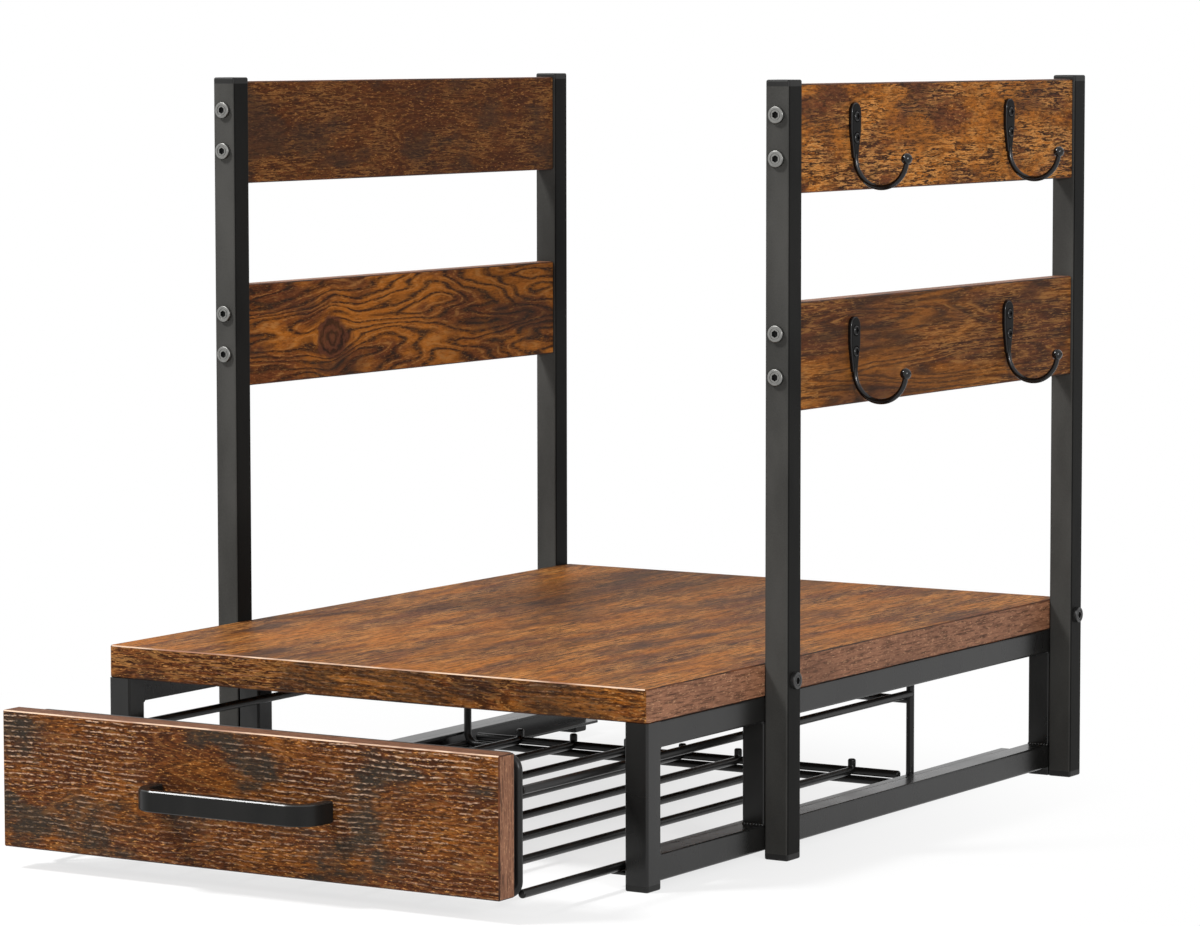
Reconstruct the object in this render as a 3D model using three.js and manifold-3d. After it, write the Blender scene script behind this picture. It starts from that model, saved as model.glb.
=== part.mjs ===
// Countertop stand: a wood board on two welded steel side frames, a wire drawer that slides out
// under the board, and a rack of two hooked slats between two posts on each side.
// Millimetres, +Z up, the drawer opens towards -Y, +X is the right-hand side.
// The origin is on the floor, in the middle of the stand's box with the drawer ajar.
import * as THREE from 'three';
import { mergeVertices } from 'three/addons/utils/BufferGeometryUtils.js';
import Module from 'manifold-3d';

const wasm = await Module();
wasm.setup();

// Board
const boardWidth = 300;
const boardDepth = 410;
const boardThickness = 15.5;
const boardTop = 91.5; // working surface above the floor
const boardCorner = 2; // radius of its upright corners

// Welded side frames of square tube
const frameTube = 12;
const frameWall = 1;
const railLift = 4; // underside of the bottom rail above the floor
const ventHole = 5; // hole that lets the closed tubes breathe into their neighbours
const runnerReach = 11; // lower ledge inside the bottom rail, which carries the drawer
const runnerRise = 3.4; // top of the lower ledge above the underside of the rail
const guideReach = 4.2; // upper ledge, flush with the top of the rail, which guides the drawer
const guideFrontGap = 1; // closed drawer front to the upper ledge
const guideRearGap = 34; // end of the upper ledge to the board's rear edge
const ledgeThickness = 1.5;

// Posts of square tube, outside the side frames
const postTube = 12.5;
const postWall = 1;
const postHeight = 360; // floor to the top of the cap
const frontPostSetback = 103.8; // board's front edge to the post's front face
const tubeCorner = 1.2; // outer radius along the edges of every tube

// Plastic plugs in the ends of legs and posts
const plugFlange = 3;
const plugChamfer = 0.8;
const plugSpigot = 6;

// Rack slats
const slatHeight = 50;
const slatThickness = 10;
const slatDrop = 2; // top of the upper slat below the top of the posts
const slatPitch = 100;

// Bolts through the posts
const boltHead = 7.8;
const boltHeadThickness = 2;
const boltShank = 5;
const boltSocket = 3; // across the flats of the hexagon
const boltSocketDepth = 1.3;
const boltSpacing = 20; // two bolts at each end of a slat
const boltRise = 1; // pair of bolts above the middle of the slat
const slatBoltGrip = 25; // depth in the slat's end
const boardBoltGrip = 20; // depth in the board's edge

// Hooks on the outer faces of the slats
const hookFromFront = 50.5; // slat's front end to the first hook
const hookFromRear = 72.5; // slat's rear end to the second hook
const hookPlateDrop = 9; // top of the plate below the top of the slat
const hookPlateWidth = 9;
const hookPlateThickness = 2;
const hookPlateLength = 26;
const hookNeck = 3.4; // width of the plate's lower end
const hookRod = 3.2;
const hookReach = 28.2; // slat's face to the middle of the ball
const hookDepth = 39.5; // top of the plate to the middle of the rod at its lowest
const hookTipDrop = 26; // top of the plate to the middle of the ball
const hookBall = 5.8;
const hookScrewHead = 5.6;
const hookScrewHeadThickness = 1.6;
const hookScrewShank = 3;
const hookScrewDrop = 6.5; // top of the plate to the upper screw
const hookScrewSpacing = 10;
const hookScrewCover = 2; // wood left behind the tip of the screw

// Drawer front and its handle
const drawerOut = 98.2; // how far the drawer stands open
const drawerSideGap = 2.5; // drawer front to each front leg
const drawerTopGap = 2.6; // drawer front to the board
const drawerLift = 10.4; // underside of the drawer front above the floor
const drawerFrontThickness = 12;
const handleLength = 98;
const handleReach = 20;
const handleHeight = 9.6;
const handleBar = 5;
const handleBend = 12.5; // outer radius of its corners
const handleScrewHead = 7;
const handleScrewHeadThickness = 2;
const handleScrewShank = 3;
const handleScrewGrip = 9; // depth in the foot of the handle
const bracketScrewHead = 6;
const bracketScrewHeadThickness = 1.8;
const bracketScrewShank = 3;
const bracketScrewGrip = 9; // depth in the drawer front

// Wire basket behind the drawer front
const wire = 4;
const wireBend = 6; // middle radius of the corners of the hoops
const hoopGap = 7.1; // drawer front to the front hoop
const hoopDrop = 1.4; // top of the hoops below the top of the drawer front
const sideWireDrop = 16.3; // top of the upper side wires below the top of the drawer front
const rearWireDrop = 3; // upper rear wire below the upper side wires
const basketRearGap = 28.3; // closed basket to the board's rear edge
const floorWires = 7;
const floorWireUpturn = 6; // rear ends of the floor wires, turned up from the middle of the wire
const bracketWidth = 16;
const bracketThickness = 1.5;
const bracketFromSide = 45; // middle of a bracket to the end of the drawer front

// Clearances
const seatGap = 0.3;
const boreGap = 0.2;
const runGap = 0.3;

// Fineness of round shapes
const weldTolerance = 1e-4;
const cornerSteps = 1; // half the number of steps round a tube's edge
const bendSteps = 2; // half the number of steps round a bend
const rodSteps = 12;
const rodSides = 4; // half the number of sides of a swept rod
const wireSides = 8;
const boltSides = 12;
const screwSides = 8;
const boreSides = 8;

// Places worked out from the sizes above
const boardUnderside = boardTop - boardThickness;
const boardSide = boardWidth / 2;
const frameMiddle = boardSide - frameTube / 2;
const frameInner = boardSide - frameTube;
const postMiddle = boardSide + postTube / 2;
const frontPostY = frontPostSetback + postTube / 2;
const rearPostY = boardDepth - postTube / 2;
const slatFront = frontPostY + postTube / 2;
const slatRear = rearPostY - postTube / 2;
const slatLength = slatRear - slatFront;
const slatFace = postMiddle + slatThickness / 2;
const upperSlatTop = postHeight - slatDrop;
const drawerFrontWidth = 2 * (frameInner - drawerSideGap);
const drawerFrontTop = boardUnderside - drawerTopGap;
const drawerFrontHeight = drawerFrontTop - drawerLift;
const drawerFace = -drawerOut;
const drawerBack = drawerFace + drawerFrontThickness;
const handleHeightMiddle = drawerLift + drawerFrontHeight / 2;
const handleFoot = (handleLength - handleBar) / 2;
const bracketX = drawerFrontWidth / 2 - bracketFromSide;
const runnerTop = railLift + runnerRise;
const guideFront = drawerFrontThickness + guideFrontGap;
const skidZ = runnerTop + runGap + wire / 2;
const floorZ = skidZ + wire + seatGap;
const hoopTopZ = drawerFrontTop - hoopDrop - wire / 2;
const sideWireZ = drawerFrontTop - sideWireDrop - wire / 2;
const basketSideX = frameInner - guideReach - runGap - wire / 2;
const basketFrontY = drawerBack + hoopGap + wire / 2;
const basketRearY = boardDepth - basketRearGap - drawerOut - wire / 2;
const originY = (drawerFace - handleReach + boardDepth + boltHeadThickness) / 2;

// Finishes
const woodLaminate = new THREE.MeshStandardMaterial({ color: 0x7a4a26, roughness: 0.6, metalness: 0 });
const blackSteel = new THREE.MeshStandardMaterial({ color: 0x24231f, roughness: 0.5, metalness: 0.2 });
const blackWire = new THREE.MeshStandardMaterial({ color: 0x1b1a1a, roughness: 0.45, metalness: 0.2 });
const hookBlack = new THREE.MeshStandardMaterial({ color: 0x1c1b1a, roughness: 0.35, metalness: 0.4 });
const blackPlastic = new THREE.MeshStandardMaterial({ color: 0x161615, roughness: 0.6, metalness: 0 });
const zincSteel = new THREE.MeshStandardMaterial({ color: 0xb9b8b3, roughness: 0.35, metalness: 0.9 });

// A closed geometry as a solid that can be joined and cut.
function solidOf(geometry) {
  const bare = geometry.clone();
  bare.deleteAttribute('normal');
  bare.deleteAttribute('uv');
  const merged = mergeVertices(bare, weldTolerance);
  const corners = merged.index.array;
  const kept = [];
  for (let i = 0; i < corners.length; i += 3) {
    const [a, b, c] = corners.slice(i, i + 3);
    if (a !== b && b !== c && c !== a) kept.push(a, b, c);
  }
  return new wasm.Manifold(new wasm.Mesh({
    numProp: 3,
    vertProperties: merged.getAttribute('position').array,
    triVerts: new Uint32Array(kept),
  }));
}

// A solid as a geometry for a mesh.
function geometryOf(solid) {
  const faces = solid.getMesh();
  const geometry = new THREE.BufferGeometry();
  geometry.setAttribute('position', new THREE.BufferAttribute(faces.vertProperties, 3));
  geometry.setIndex(new THREE.BufferAttribute(faces.triVerts, 1));
  geometry.computeVertexNormals();
  return geometry;
}

const join = (pieces) => pieces.map(solidOf).reduce((whole, piece) => whole.add(piece));
const cut = (body, holes) => holes.map(solidOf).reduce((whole, hole) => whole.subtract(hole), body);

// A box between two corners.
function box(low, high) {
  const size = high.map((value, axis) => value - low[axis]);
  const middle = high.map((value, axis) => (value + low[axis]) / 2);
  return new THREE.BoxGeometry(...size).translate(...middle);
}

// The cutter for the inside of a square tube, centred on the origin.
const cavity = (x, y, z) => new THREE.BoxGeometry(x, y, z);

// A rectangle with rounded corners, centred on the origin.
function roundedRectangle(width, height, radius) {
  const x = width / 2 - radius;
  const y = height / 2 - radius;
  const outline = new THREE.Shape();
  outline.absarc(x, y, radius, 0, Math.PI / 2);
  outline.absarc(-x, y, radius, Math.PI / 2, Math.PI);
  outline.absarc(-x, -y, radius, Math.PI, 1.5 * Math.PI);
  outline.absarc(x, -y, radius, 1.5 * Math.PI, 2 * Math.PI);
  return outline;
}

// A flat outline drawn upwards from z = 0.
function prism(outline, height, curveSegments) {
  return new THREE.ExtrudeGeometry(outline, { depth: height, bevelEnabled: false, curveSegments });
}

// A square bar with rounded edges, standing on z = 0 or lying along +Y from y = 0.
function standingBar(side, length, radius) {
  return prism(roundedRectangle(side, side, radius), length, cornerSteps);
}
const lyingBar = (side, length, radius) => standingBar(side, length, radius).rotateX(-Math.PI / 2);

// A round bar centred on the origin, along one axis.
function roundBar(diameter, length, axis, sides) {
  const bar = new THREE.CylinderGeometry(diameter / 2, diameter / 2, length, sides);
  if (axis === 'x') bar.rotateZ(Math.PI / 2);
  if (axis === 'z') bar.rotateX(Math.PI / 2);
  return bar;
}

// The cutter for a round hole, whose flats lie a clearance away from what goes through it.
function bore(diameter, length, axis) {
  const acrossCorners = (diameter + 2 * boreGap) / Math.cos(Math.PI / boreSides);
  return roundBar(acrossCorners, length, axis, boreSides);
}

// A turned profile of [radius, height] points about the Z axis, upwards.
function turned(profile, sides) {
  const points = profile.map(([radius, height]) => new THREE.Vector2(radius, height));
  return new THREE.LatheGeometry(points, sides).rotateX(Math.PI / 2);
}

// A square plug: a chamfered flange from z = 0 up, and a spigot on it that fits in the tube.
function plug(tube, wall) {
  const across = Math.SQRT2 / 2; // half a square's side to its corner
  const flange = tube * across;
  const spigot = (tube - 2 * wall - 2 * boreGap) * across;
  const chamfer = plugChamfer * Math.SQRT2;
  return turned([
    [0, 0],
    [flange - chamfer, 0],
    [flange, plugChamfer],
    [flange, plugFlange],
    [spigot, plugFlange],
    [spigot, plugFlange + plugSpigot],
    [0, plugFlange + plugSpigot],
  ], 4).rotateZ(Math.PI / 4);
}

// A socket-head bolt along +Z: the head is below z = 0, and the shank stands on it.
function bolt(grip) {
  const head = turned([
    [0, -boltHeadThickness],
    [boltHead / 2, -boltHeadThickness],
    [boltHead / 2, 0],
    [boltShank / 2, 0],
    [boltShank / 2, grip],
    [0, grip],
  ], boltSides);
  const socketRadius = boltSocket / Math.sqrt(3);
  const socket = new THREE.CylinderGeometry(socketRadius, socketRadius, 2 * boltSocketDepth, 6);
  socket.rotateX(Math.PI / 2).translate(0, 0, -boltHeadThickness);
  return geometryOf(cut(solidOf(head), [socket]));
}

// Names and places that repeat on the two sides, on the two posts of a side and on their slats.
const sides = [{ name: 'left', sign: -1 }, { name: 'right', sign: 1 }];
const posts = [
  { name: 'front', y: frontPostY, outward: -1 },
  { name: 'rear', y: rearPostY, outward: 1 },
];
const slats = [
  { name: 'upper', top: upperSlatTop },
  { name: 'lower', top: upperSlatTop - slatPitch },
];
const boltHeights = slats.flatMap(({ name, top }) => [-1, 1].map((step) => ({
  name: `${name}_${step > 0 ? 'top' : 'bottom'}`,
  z: top - slatHeight / 2 + boltRise + (step * boltSpacing) / 2,
})));
const boardBoltZ = boardUnderside + boardThickness / 2;

const part = new THREE.Group();
const stand = new THREE.Group();
const drawer = new THREE.Group();
stand.position.y = -originY;
drawer.position.y = -originY;
part.add(stand, drawer);

function place(group, name, shape, material) {
  const geometry = shape.isBufferGeometry ? geometryOf(solidOf(shape)) : geometryOf(shape);
  const mesh = new THREE.Mesh(geometry, material);
  mesh.name = name;
  group.add(mesh);
}

// The board, with a bore in each side edge for the bolt of each post.
function makeBoard() {
  const outline = roundedRectangle(boardWidth, boardDepth, boardCorner);
  const slab = prism(outline, boardThickness, bendSteps).translate(0, boardDepth / 2, boardUnderside);
  const bores = sides.flatMap(({ sign }) => posts.map(({ y }) => (
    bore(boltShank, 2 * (boardBoltGrip + seatGap), 'x').translate(sign * boardSide, y, boardBoltZ)
  )));
  return cut(solidOf(slab), bores);
}

// A flat strip welded along the inner face of a bottom rail, from y = front to y = rear.
function ledge(sign, reach, front, rear, top) {
  const span = reach + frameWall; // let into the wall of the rail
  const strip = box([-span / 2, front, top - ledgeThickness], [span / 2, rear, top]);
  return strip.translate(sign * (frameInner - reach + span / 2), 0, 0);
}

// One welded side frame: two legs, two rails, an upright beside the front post, and the two ledges
// that the drawer slides on and along.
function makeSideFrame(sign) {
  const x = sign * frameMiddle;
  const tubeBore = frameTube - 2 * frameWall;
  const railLow = railLift + frameTube / 2;
  const railHigh = boardUnderside - frameTube / 2;
  const legFront = frameTube / 2;
  const legRear = boardDepth - frameTube / 2;
  const legHeight = boardUnderside - plugFlange;
  const railLength = boardDepth - 2 * frameTube;
  const uprightHeight = railHigh - railLow - frameTube;
  const legs = [legFront, legRear];
  const rails = [railLow, railHigh];

  const steel = join([
    ...legs.map((y) => standingBar(frameTube, legHeight, tubeCorner).translate(x, y, plugFlange)),
    ...rails.map((z) => lyingBar(frameTube, legRear - legFront, tubeCorner).translate(x, legFront, z)),
    standingBar(frameTube, railHigh - railLow, tubeCorner).translate(x, frontPostY, railLow),
    ledge(sign, runnerReach, legFront, legRear, runnerTop),
    ledge(sign, guideReach, guideFront, boardDepth - guideRearGap, railLift + frameTube),
  ]);
  const hollows = [
    ...legs.map((y) => cavity(tubeBore, tubeBore, boardUnderside).translate(x, y, boardUnderside / 2)),
    ...rails.map((z) => cavity(tubeBore, railLength, tubeBore).translate(x, boardDepth / 2, z)),
    cavity(tubeBore, tubeBore, uprightHeight).translate(x, frontPostY, (railLow + railHigh) / 2),
    ...rails.map((z) => roundBar(ventHole, railLength + 3 * frameWall, 'y', boreSides)
      .translate(x, boardDepth / 2, z)),
    roundBar(ventHole, uprightHeight + 3 * frameWall, 'z', boreSides)
      .translate(x, frontPostY, (railLow + railHigh) / 2),
  ];
  return cut(steel, hollows);
}

// One post: a tube bored for its slat bolts along Y and for its board bolt along X.
function makePost(sign, y) {
  const length = postHeight - 2 * plugFlange;
  const postBore = postTube - 2 * postWall;
  const x = sign * postMiddle;
  const holes = [
    cavity(postBore, postBore, postHeight).translate(x, y, postHeight / 2),
    ...boltHeights.map(({ z }) => bore(boltShank, 2 * postTube, 'y').translate(x, y, z)),
    bore(boltShank, 2 * postTube, 'x').translate(x, y, boardBoltZ),
  ];
  const tube = standingBar(postTube, length, tubeCorner).translate(x, y, plugFlange);
  return cut(solidOf(tube), holes);
}

const hookYs = [
  { name: 'front', y: slatFront + hookFromFront },
  { name: 'rear', y: slatRear - hookFromRear },
];
const hookScrewDrops = [hookScrewDrop, hookScrewDrop + hookScrewSpacing];
const hookScrewGrip = slatThickness - hookScrewCover;

// One slat between the posts, bored for the bolts at its ends and for the screws of its hooks.
function makeSlat(sign, top) {
  const x = sign * postMiddle;
  const slab = box(
    [x - slatThickness / 2, slatFront, top - slatHeight],
    [x + slatThickness / 2, slatRear, top],
  );
  const middle = top - slatHeight / 2 + boltRise;
  const bores = [slatFront, slatRear].flatMap((y) => [-1, 1].map((step) => (
    bore(boltShank, 2 * (slatBoltGrip + seatGap), 'y').translate(x, y, middle + (step * boltSpacing) / 2)
  )));
  const pilots = hookYs.flatMap(({ y }) => hookScrewDrops.map((drop) => (
    bore(hookScrewShank, 2 * (hookScrewGrip + seatGap), 'x')
      .translate(sign * slatFace, y, top - hookPlateDrop - drop)
  )));
  return cut(solidOf(slab), [...bores, ...pilots]);
}

// A hook with its two screws, on a wall at x = 0 that faces +X, with the top of its plate at z = 0.
function makeHook() {
  const outline = new THREE.Shape();
  const round = hookPlateWidth / 2;
  outline.moveTo(hookNeck / 2, -hookPlateLength);
  outline.lineTo(round, -round);
  outline.absarc(0, -round, round, 0, Math.PI);
  outline.lineTo(-hookNeck / 2, -hookPlateLength);
  const plate = prism(outline, hookPlateThickness, bendSteps);
  plate.rotateX(Math.PI / 2).rotateZ(Math.PI / 2);

  const start = new THREE.Vector3(hookRod / 2, 0, -hookPlateLength + hookPlateThickness);
  const lowest = new THREE.Vector3(hookReach / 2 + hookRod / 4, 0, -hookDepth);
  const tip = new THREE.Vector3(hookReach, 0, -hookTipDrop);
  const route = new THREE.CurvePath();
  const dip = hookDepth - hookPlateLength;
  route.add(new THREE.CubicBezierCurve3(
    start,
    new THREE.Vector3(start.x, 0, start.z - dip / 2),
    new THREE.Vector3(lowest.x - dip / 2, 0, lowest.z),
    lowest,
  ));
  route.add(new THREE.CubicBezierCurve3(
    lowest,
    new THREE.Vector3(lowest.x + dip / 2, 0, lowest.z),
    new THREE.Vector3(tip.x, 0, tip.z - dip / 2),
    tip,
  ));
  const section = new THREE.Shape();
  section.absarc(0, 0, hookRod / 2, 0, 2 * Math.PI);
  const rod = new THREE.ExtrudeGeometry(section, {
    steps: rodSteps, extrudePath: route, curveSegments: rodSides, bevelEnabled: false,
  });
  const ball = new THREE.SphereGeometry(hookBall / 2, screwSides, screwSides / 2 + 1);
  ball.translate(tip.x, tip.y, tip.z);

  const screws = hookScrewDrops.map((drop) => turned([
    [0, -hookScrewGrip],
    [hookScrewShank / 2, -hookScrewGrip],
    [hookScrewShank / 2, hookPlateThickness / 2],
    [hookScrewHead / 2, hookPlateThickness / 2],
    [hookScrewHead / 2, hookPlateThickness + hookScrewHeadThickness / 2],
    [hookScrewHead / 4, hookPlateThickness + hookScrewHeadThickness],
    [0, hookPlateThickness + hookScrewHeadThickness],
  ], screwSides).rotateY(Math.PI / 2).translate(0, 0, -drop));
  return join([plate, rod, ball, ...screws]);
}

// The handle: a flat bar bent into a D, with a screw hole up each foot.
function makeHandle() {
  const outer = handleLength / 2;
  const inner = outer - handleBar;
  const front = drawerFace - handleReach;
  const innerBend = handleBend - handleBar;
  const outline = new THREE.Shape();
  outline.moveTo(-outer, drawerFace);
  outline.absarc(-outer + handleBend, front + handleBend, handleBend, Math.PI, 1.5 * Math.PI);
  outline.absarc(outer - handleBend, front + handleBend, handleBend, 1.5 * Math.PI, 2 * Math.PI);
  outline.lineTo(outer, drawerFace);
  outline.lineTo(inner, drawerFace);
  outline.absarc(inner - innerBend, front + handleBend, innerBend, 2 * Math.PI, 1.5 * Math.PI, true);
  outline.absarc(-inner + innerBend, front + handleBend, innerBend, 1.5 * Math.PI, Math.PI, true);
  outline.lineTo(-inner, drawerFace);
  const bar = prism(outline, handleHeight, bendSteps);
  bar.translate(0, 0, handleHeightMiddle - handleHeight / 2);
  const holes = [-1, 1].map((step) => (
    bore(handleScrewShank, 2 * (handleScrewGrip + seatGap), 'y')
      .translate(step * handleFoot, drawerFace, handleHeightMiddle)
  ));
  return cut(solidOf(bar), holes);
}

// The drawer front, bored through for the screws of the handle and bored for those of the brackets.
function makeDrawerFront() {
  const slab = box(
    [-drawerFrontWidth / 2, drawerFace, drawerLift],
    [drawerFrontWidth / 2, drawerBack, drawerFrontTop],
  );
  const bores = [-1, 1].flatMap((step) => [
    bore(handleScrewShank, 3 * drawerFrontThickness, 'y')
      .translate(step * handleFoot, drawerFace, handleHeightMiddle),
    bore(bracketScrewShank, 2 * (bracketScrewGrip + seatGap), 'y')
      .translate(step * bracketX, drawerBack, handleHeightMiddle),
  ]);
  return cut(solidOf(slab), bores);
}

// A pan-head screw along -Y, with the underside of its head at y = 0.
function panScrew(head, headThickness, shank, length) {
  return turned([
    [0, -headThickness],
    [head / 3, -headThickness],
    [head / 2, -headThickness / 2],
    [head / 2, 0],
    [shank / 2, 0],
    [shank / 2, length],
    [0, length],
  ], screwSides).rotateX(Math.PI / 2);
}

// A closed hoop of round wire in an XZ plane, with bent corners: the basket's cross section.
function wireHoop(y) {
  const x = basketSideX - wireBend;
  const low = skidZ + wireBend;
  const high = hoopTopZ - wireBend;
  const path = new THREE.Path();
  path.absarc(x, high, wireBend, 0, Math.PI / 2);
  path.absarc(-x, high, wireBend, Math.PI / 2, Math.PI);
  path.absarc(-x, low, wireBend, Math.PI, 1.5 * Math.PI);
  path.absarc(x, low, wireBend, 1.5 * Math.PI, 2 * Math.PI);
  const points = path.getPoints(bendSteps);
  const count = points.length;
  const positions = [];
  const index = [];
  points.forEach((point, i) => {
    const ahead = points[(i + 1) % count];
    const behind = points[(i + count - 1) % count];
    const along = ahead.clone().sub(behind).normalize();
    for (let j = 0; j < wireSides; j += 1) {
      const turn = (2 * Math.PI * j) / wireSides;
      const inPlane = (wire / 2) * Math.cos(turn);
      const across = (wire / 2) * Math.sin(turn);
      positions.push(point.x + along.y * inPlane, y - across, point.y - along.x * inPlane);
      const near = i * wireSides + j;
      const nearNext = i * wireSides + ((j + 1) % wireSides);
      const far = ((i + 1) % count) * wireSides + j;
      const farNext = ((i + 1) % count) * wireSides + ((j + 1) % wireSides);
      index.push(near, far, nearNext, nearNext, far, farNext);
    }
  });
  const hoop = new THREE.BufferGeometry();
  hoop.setAttribute('position', new THREE.Float32BufferAttribute(positions, 3));
  return hoop.setIndex(index);
}

// The front hoop, with the two brackets that are screwed to the drawer front welded to it.
function makeFrontHoop() {
  const front = drawerBack + seatGap;
  const half = bracketThickness / 2;
  const brackets = [-bracketX, bracketX].flatMap((x) => [
    box([x - bracketWidth / 2, front, skidZ], [x + bracketWidth / 2, front + bracketThickness, hoopTopZ]),
    ...[skidZ, hoopTopZ].map((z) => (
      box([x - bracketWidth / 2, front, z - half], [x + bracketWidth / 2, basketFrontY, z + half])
    )),
  ]);
  const holes = [-bracketX, bracketX].map((x) => (
    bore(bracketScrewShank, 4 * bracketThickness, 'y').translate(x, front, handleHeightMiddle)
  ));
  return cut(join([wireHoop(basketFrontY), ...brackets]), holes);
}

// The rear hoop and the wires that are welded to it: the side wires and the upper rear wire.
function makeCage() {
  const front = basketFrontY + wire / 2 + seatGap;
  const length = basketRearY - front;
  const sideWires = [-basketSideX, basketSideX].flatMap((x) => [skidZ, sideWireZ].map((z) => (
    roundBar(wire, length, 'y', wireSides).translate(x, front + length / 2, z)
  )));
  const rearWire = roundBar(wire, 2 * basketSideX, 'x', wireSides);
  rearWire.translate(0, basketRearY, sideWireZ - rearWireDrop);
  return join([wireHoop(basketRearY), rearWire, ...sideWires]);
}

// The floor: a cross wire on each hoop, and wires from front to rear with their rear ends turned up.
function makeFloorGrid() {
  const pitch = (2 * basketSideX) / (floorWires + 1);
  const length = basketRearY - basketFrontY;
  const crossLength = 2 * (basketSideX - wireBend);
  const crossWires = [basketFrontY, basketRearY].map((y) => (
    roundBar(wire, crossLength, 'x', wireSides).translate(0, y, floorZ)
  ));
  const lengthwise = Array.from({ length: floorWires }, (_, i) => {
    const x = -basketSideX + (i + 1) * pitch;
    return [
      roundBar(wire, length, 'y', wireSides).translate(x, basketFrontY + length / 2, floorZ),
      roundBar(wire, floorWireUpturn, 'z', wireSides)
        .translate(x, basketRearY, floorZ + floorWireUpturn / 2),
    ];
  });
  return join([...crossWires, ...lengthwise.flat()]);
}

place(stand, 'top_board', makeBoard(), woodLaminate);
for (const { name: side, sign } of sides) {
  place(stand, `${side}_side_frame`, makeSideFrame(sign), blackSteel);
  for (const end of ['front', 'rear']) {
    const y = end === 'front' ? frameTube / 2 : boardDepth - frameTube / 2;
    const foot = plug(frameTube, frameWall).translate(sign * frameMiddle, y, 0);
    place(stand, `${side}_${end}_leg_foot`, foot, blackPlastic);
  }
  for (const { name: end, y, outward } of posts) {
    const x = sign * postMiddle;
    place(stand, `${side}_${end}_post`, makePost(sign, y), blackSteel);
    place(stand, `${side}_${end}_post_foot`, plug(postTube, postWall).translate(x, y, 0), blackPlastic);
    const cap = plug(postTube, postWall).rotateX(Math.PI).translate(x, y, postHeight);
    place(stand, `${side}_${end}_post_cap`, cap, blackPlastic);
    for (const { name: seat, z } of boltHeights) {
      const slatBolt = bolt(postTube + slatBoltGrip).rotateX((outward * Math.PI) / 2);
      slatBolt.translate(x, y + (outward * postTube) / 2, z);
      place(stand, `${side}_${end}_bolt_${seat}`, slatBolt, zincSteel);
    }
    const boardBolt = bolt(postTube + boardBoltGrip).rotateY((-sign * Math.PI) / 2);
    boardBolt.translate(sign * (boardSide + postTube), y, boardBoltZ);
    place(stand, `${side}_${end}_board_bolt`, boardBolt, zincSteel);
  }
  for (const { name: level, top } of slats) {
    place(stand, `${side}_${level}_slat`, makeSlat(sign, top), woodLaminate);
    for (const { name: end, y } of hookYs) {
      const hook = geometryOf(makeHook());
      if (sign < 0) hook.rotateZ(Math.PI);
      hook.translate(sign * slatFace, y, top - hookPlateDrop);
      place(stand, `${side}_${level}_${end}_hook`, hook, hookBlack);
    }
  }
}

place(drawer, 'drawer_front', makeDrawerFront(), woodLaminate);
place(drawer, 'drawer_handle', makeHandle(), blackSteel);
for (const { name: side, sign } of sides) {
  const handleScrew = panScrew(
    handleScrewHead,
    handleScrewHeadThickness,
    handleScrewShank,
    drawerFrontThickness + handleScrewGrip,
  ).translate(sign * handleFoot, drawerBack, handleHeightMiddle);
  place(drawer, `handle_screw_${side}`, handleScrew, zincSteel);
  const bracketScrew = panScrew(
    bracketScrewHead,
    bracketScrewHeadThickness,
    bracketScrewShank,
    seatGap + bracketThickness + bracketScrewGrip,
  ).translate(sign * bracketX, drawerBack + seatGap + bracketThickness, handleHeightMiddle);
  place(drawer, `bracket_screw_${side}`, bracketScrew, zincSteel);
}
place(drawer, 'basket_front_hoop', makeFrontHoop(), blackWire);
place(drawer, 'basket_cage', makeCage(), blackWire);
place(drawer, 'basket_floor_grid', makeFloorGrid(), blackWire);

export default part;
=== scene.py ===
# %% [markdown]
# # A coffee drawer stand, dressed in Blender
# The object is a printed-laminate board on two welded frames of square tube. A wire drawer slides out
# under the board, and on each side two slats with hooks hang between two posts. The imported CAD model
# gives every place and size, so this lesson only has to make the surfaces and the fine shapes.

# %% Load the frame
import math

import bmesh
import bpy
from mathutils import Matrix, Vector


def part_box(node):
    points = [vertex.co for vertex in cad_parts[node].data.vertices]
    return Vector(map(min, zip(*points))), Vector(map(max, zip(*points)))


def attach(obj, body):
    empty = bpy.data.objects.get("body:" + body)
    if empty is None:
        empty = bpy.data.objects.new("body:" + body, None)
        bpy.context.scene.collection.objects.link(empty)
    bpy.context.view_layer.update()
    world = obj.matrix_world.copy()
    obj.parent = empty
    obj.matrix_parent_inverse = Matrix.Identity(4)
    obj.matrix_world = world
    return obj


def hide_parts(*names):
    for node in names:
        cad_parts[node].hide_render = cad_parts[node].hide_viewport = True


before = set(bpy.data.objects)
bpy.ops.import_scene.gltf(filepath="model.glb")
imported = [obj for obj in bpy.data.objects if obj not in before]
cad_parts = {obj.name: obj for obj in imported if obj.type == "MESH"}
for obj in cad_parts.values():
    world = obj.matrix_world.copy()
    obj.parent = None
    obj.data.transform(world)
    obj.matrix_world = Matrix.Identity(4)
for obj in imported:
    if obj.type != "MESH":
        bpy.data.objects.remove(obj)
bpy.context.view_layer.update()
bpy.ops.object.select_all(action="DESELECT")
MM = 0.001
X = Vector((1, 0, 0))
Y = Vector((0, 1, 0))
Z = Vector((0, 0, 1))
SIDES = {"left": -1, "right": 1}
ENDS = {"front": -Y, "rear": Y}
LEVELS = ("upper", "lower")

# %% [markdown]
# ## Camera
# The photograph was taken from the right of the front, a little above the board, with a long lens. A
# camera can be set by eye, but then the edges never quite meet. This place and this focal length were
# fitted to the edges of the board, the posts and the drawer front, so the render can be laid over it.

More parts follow.
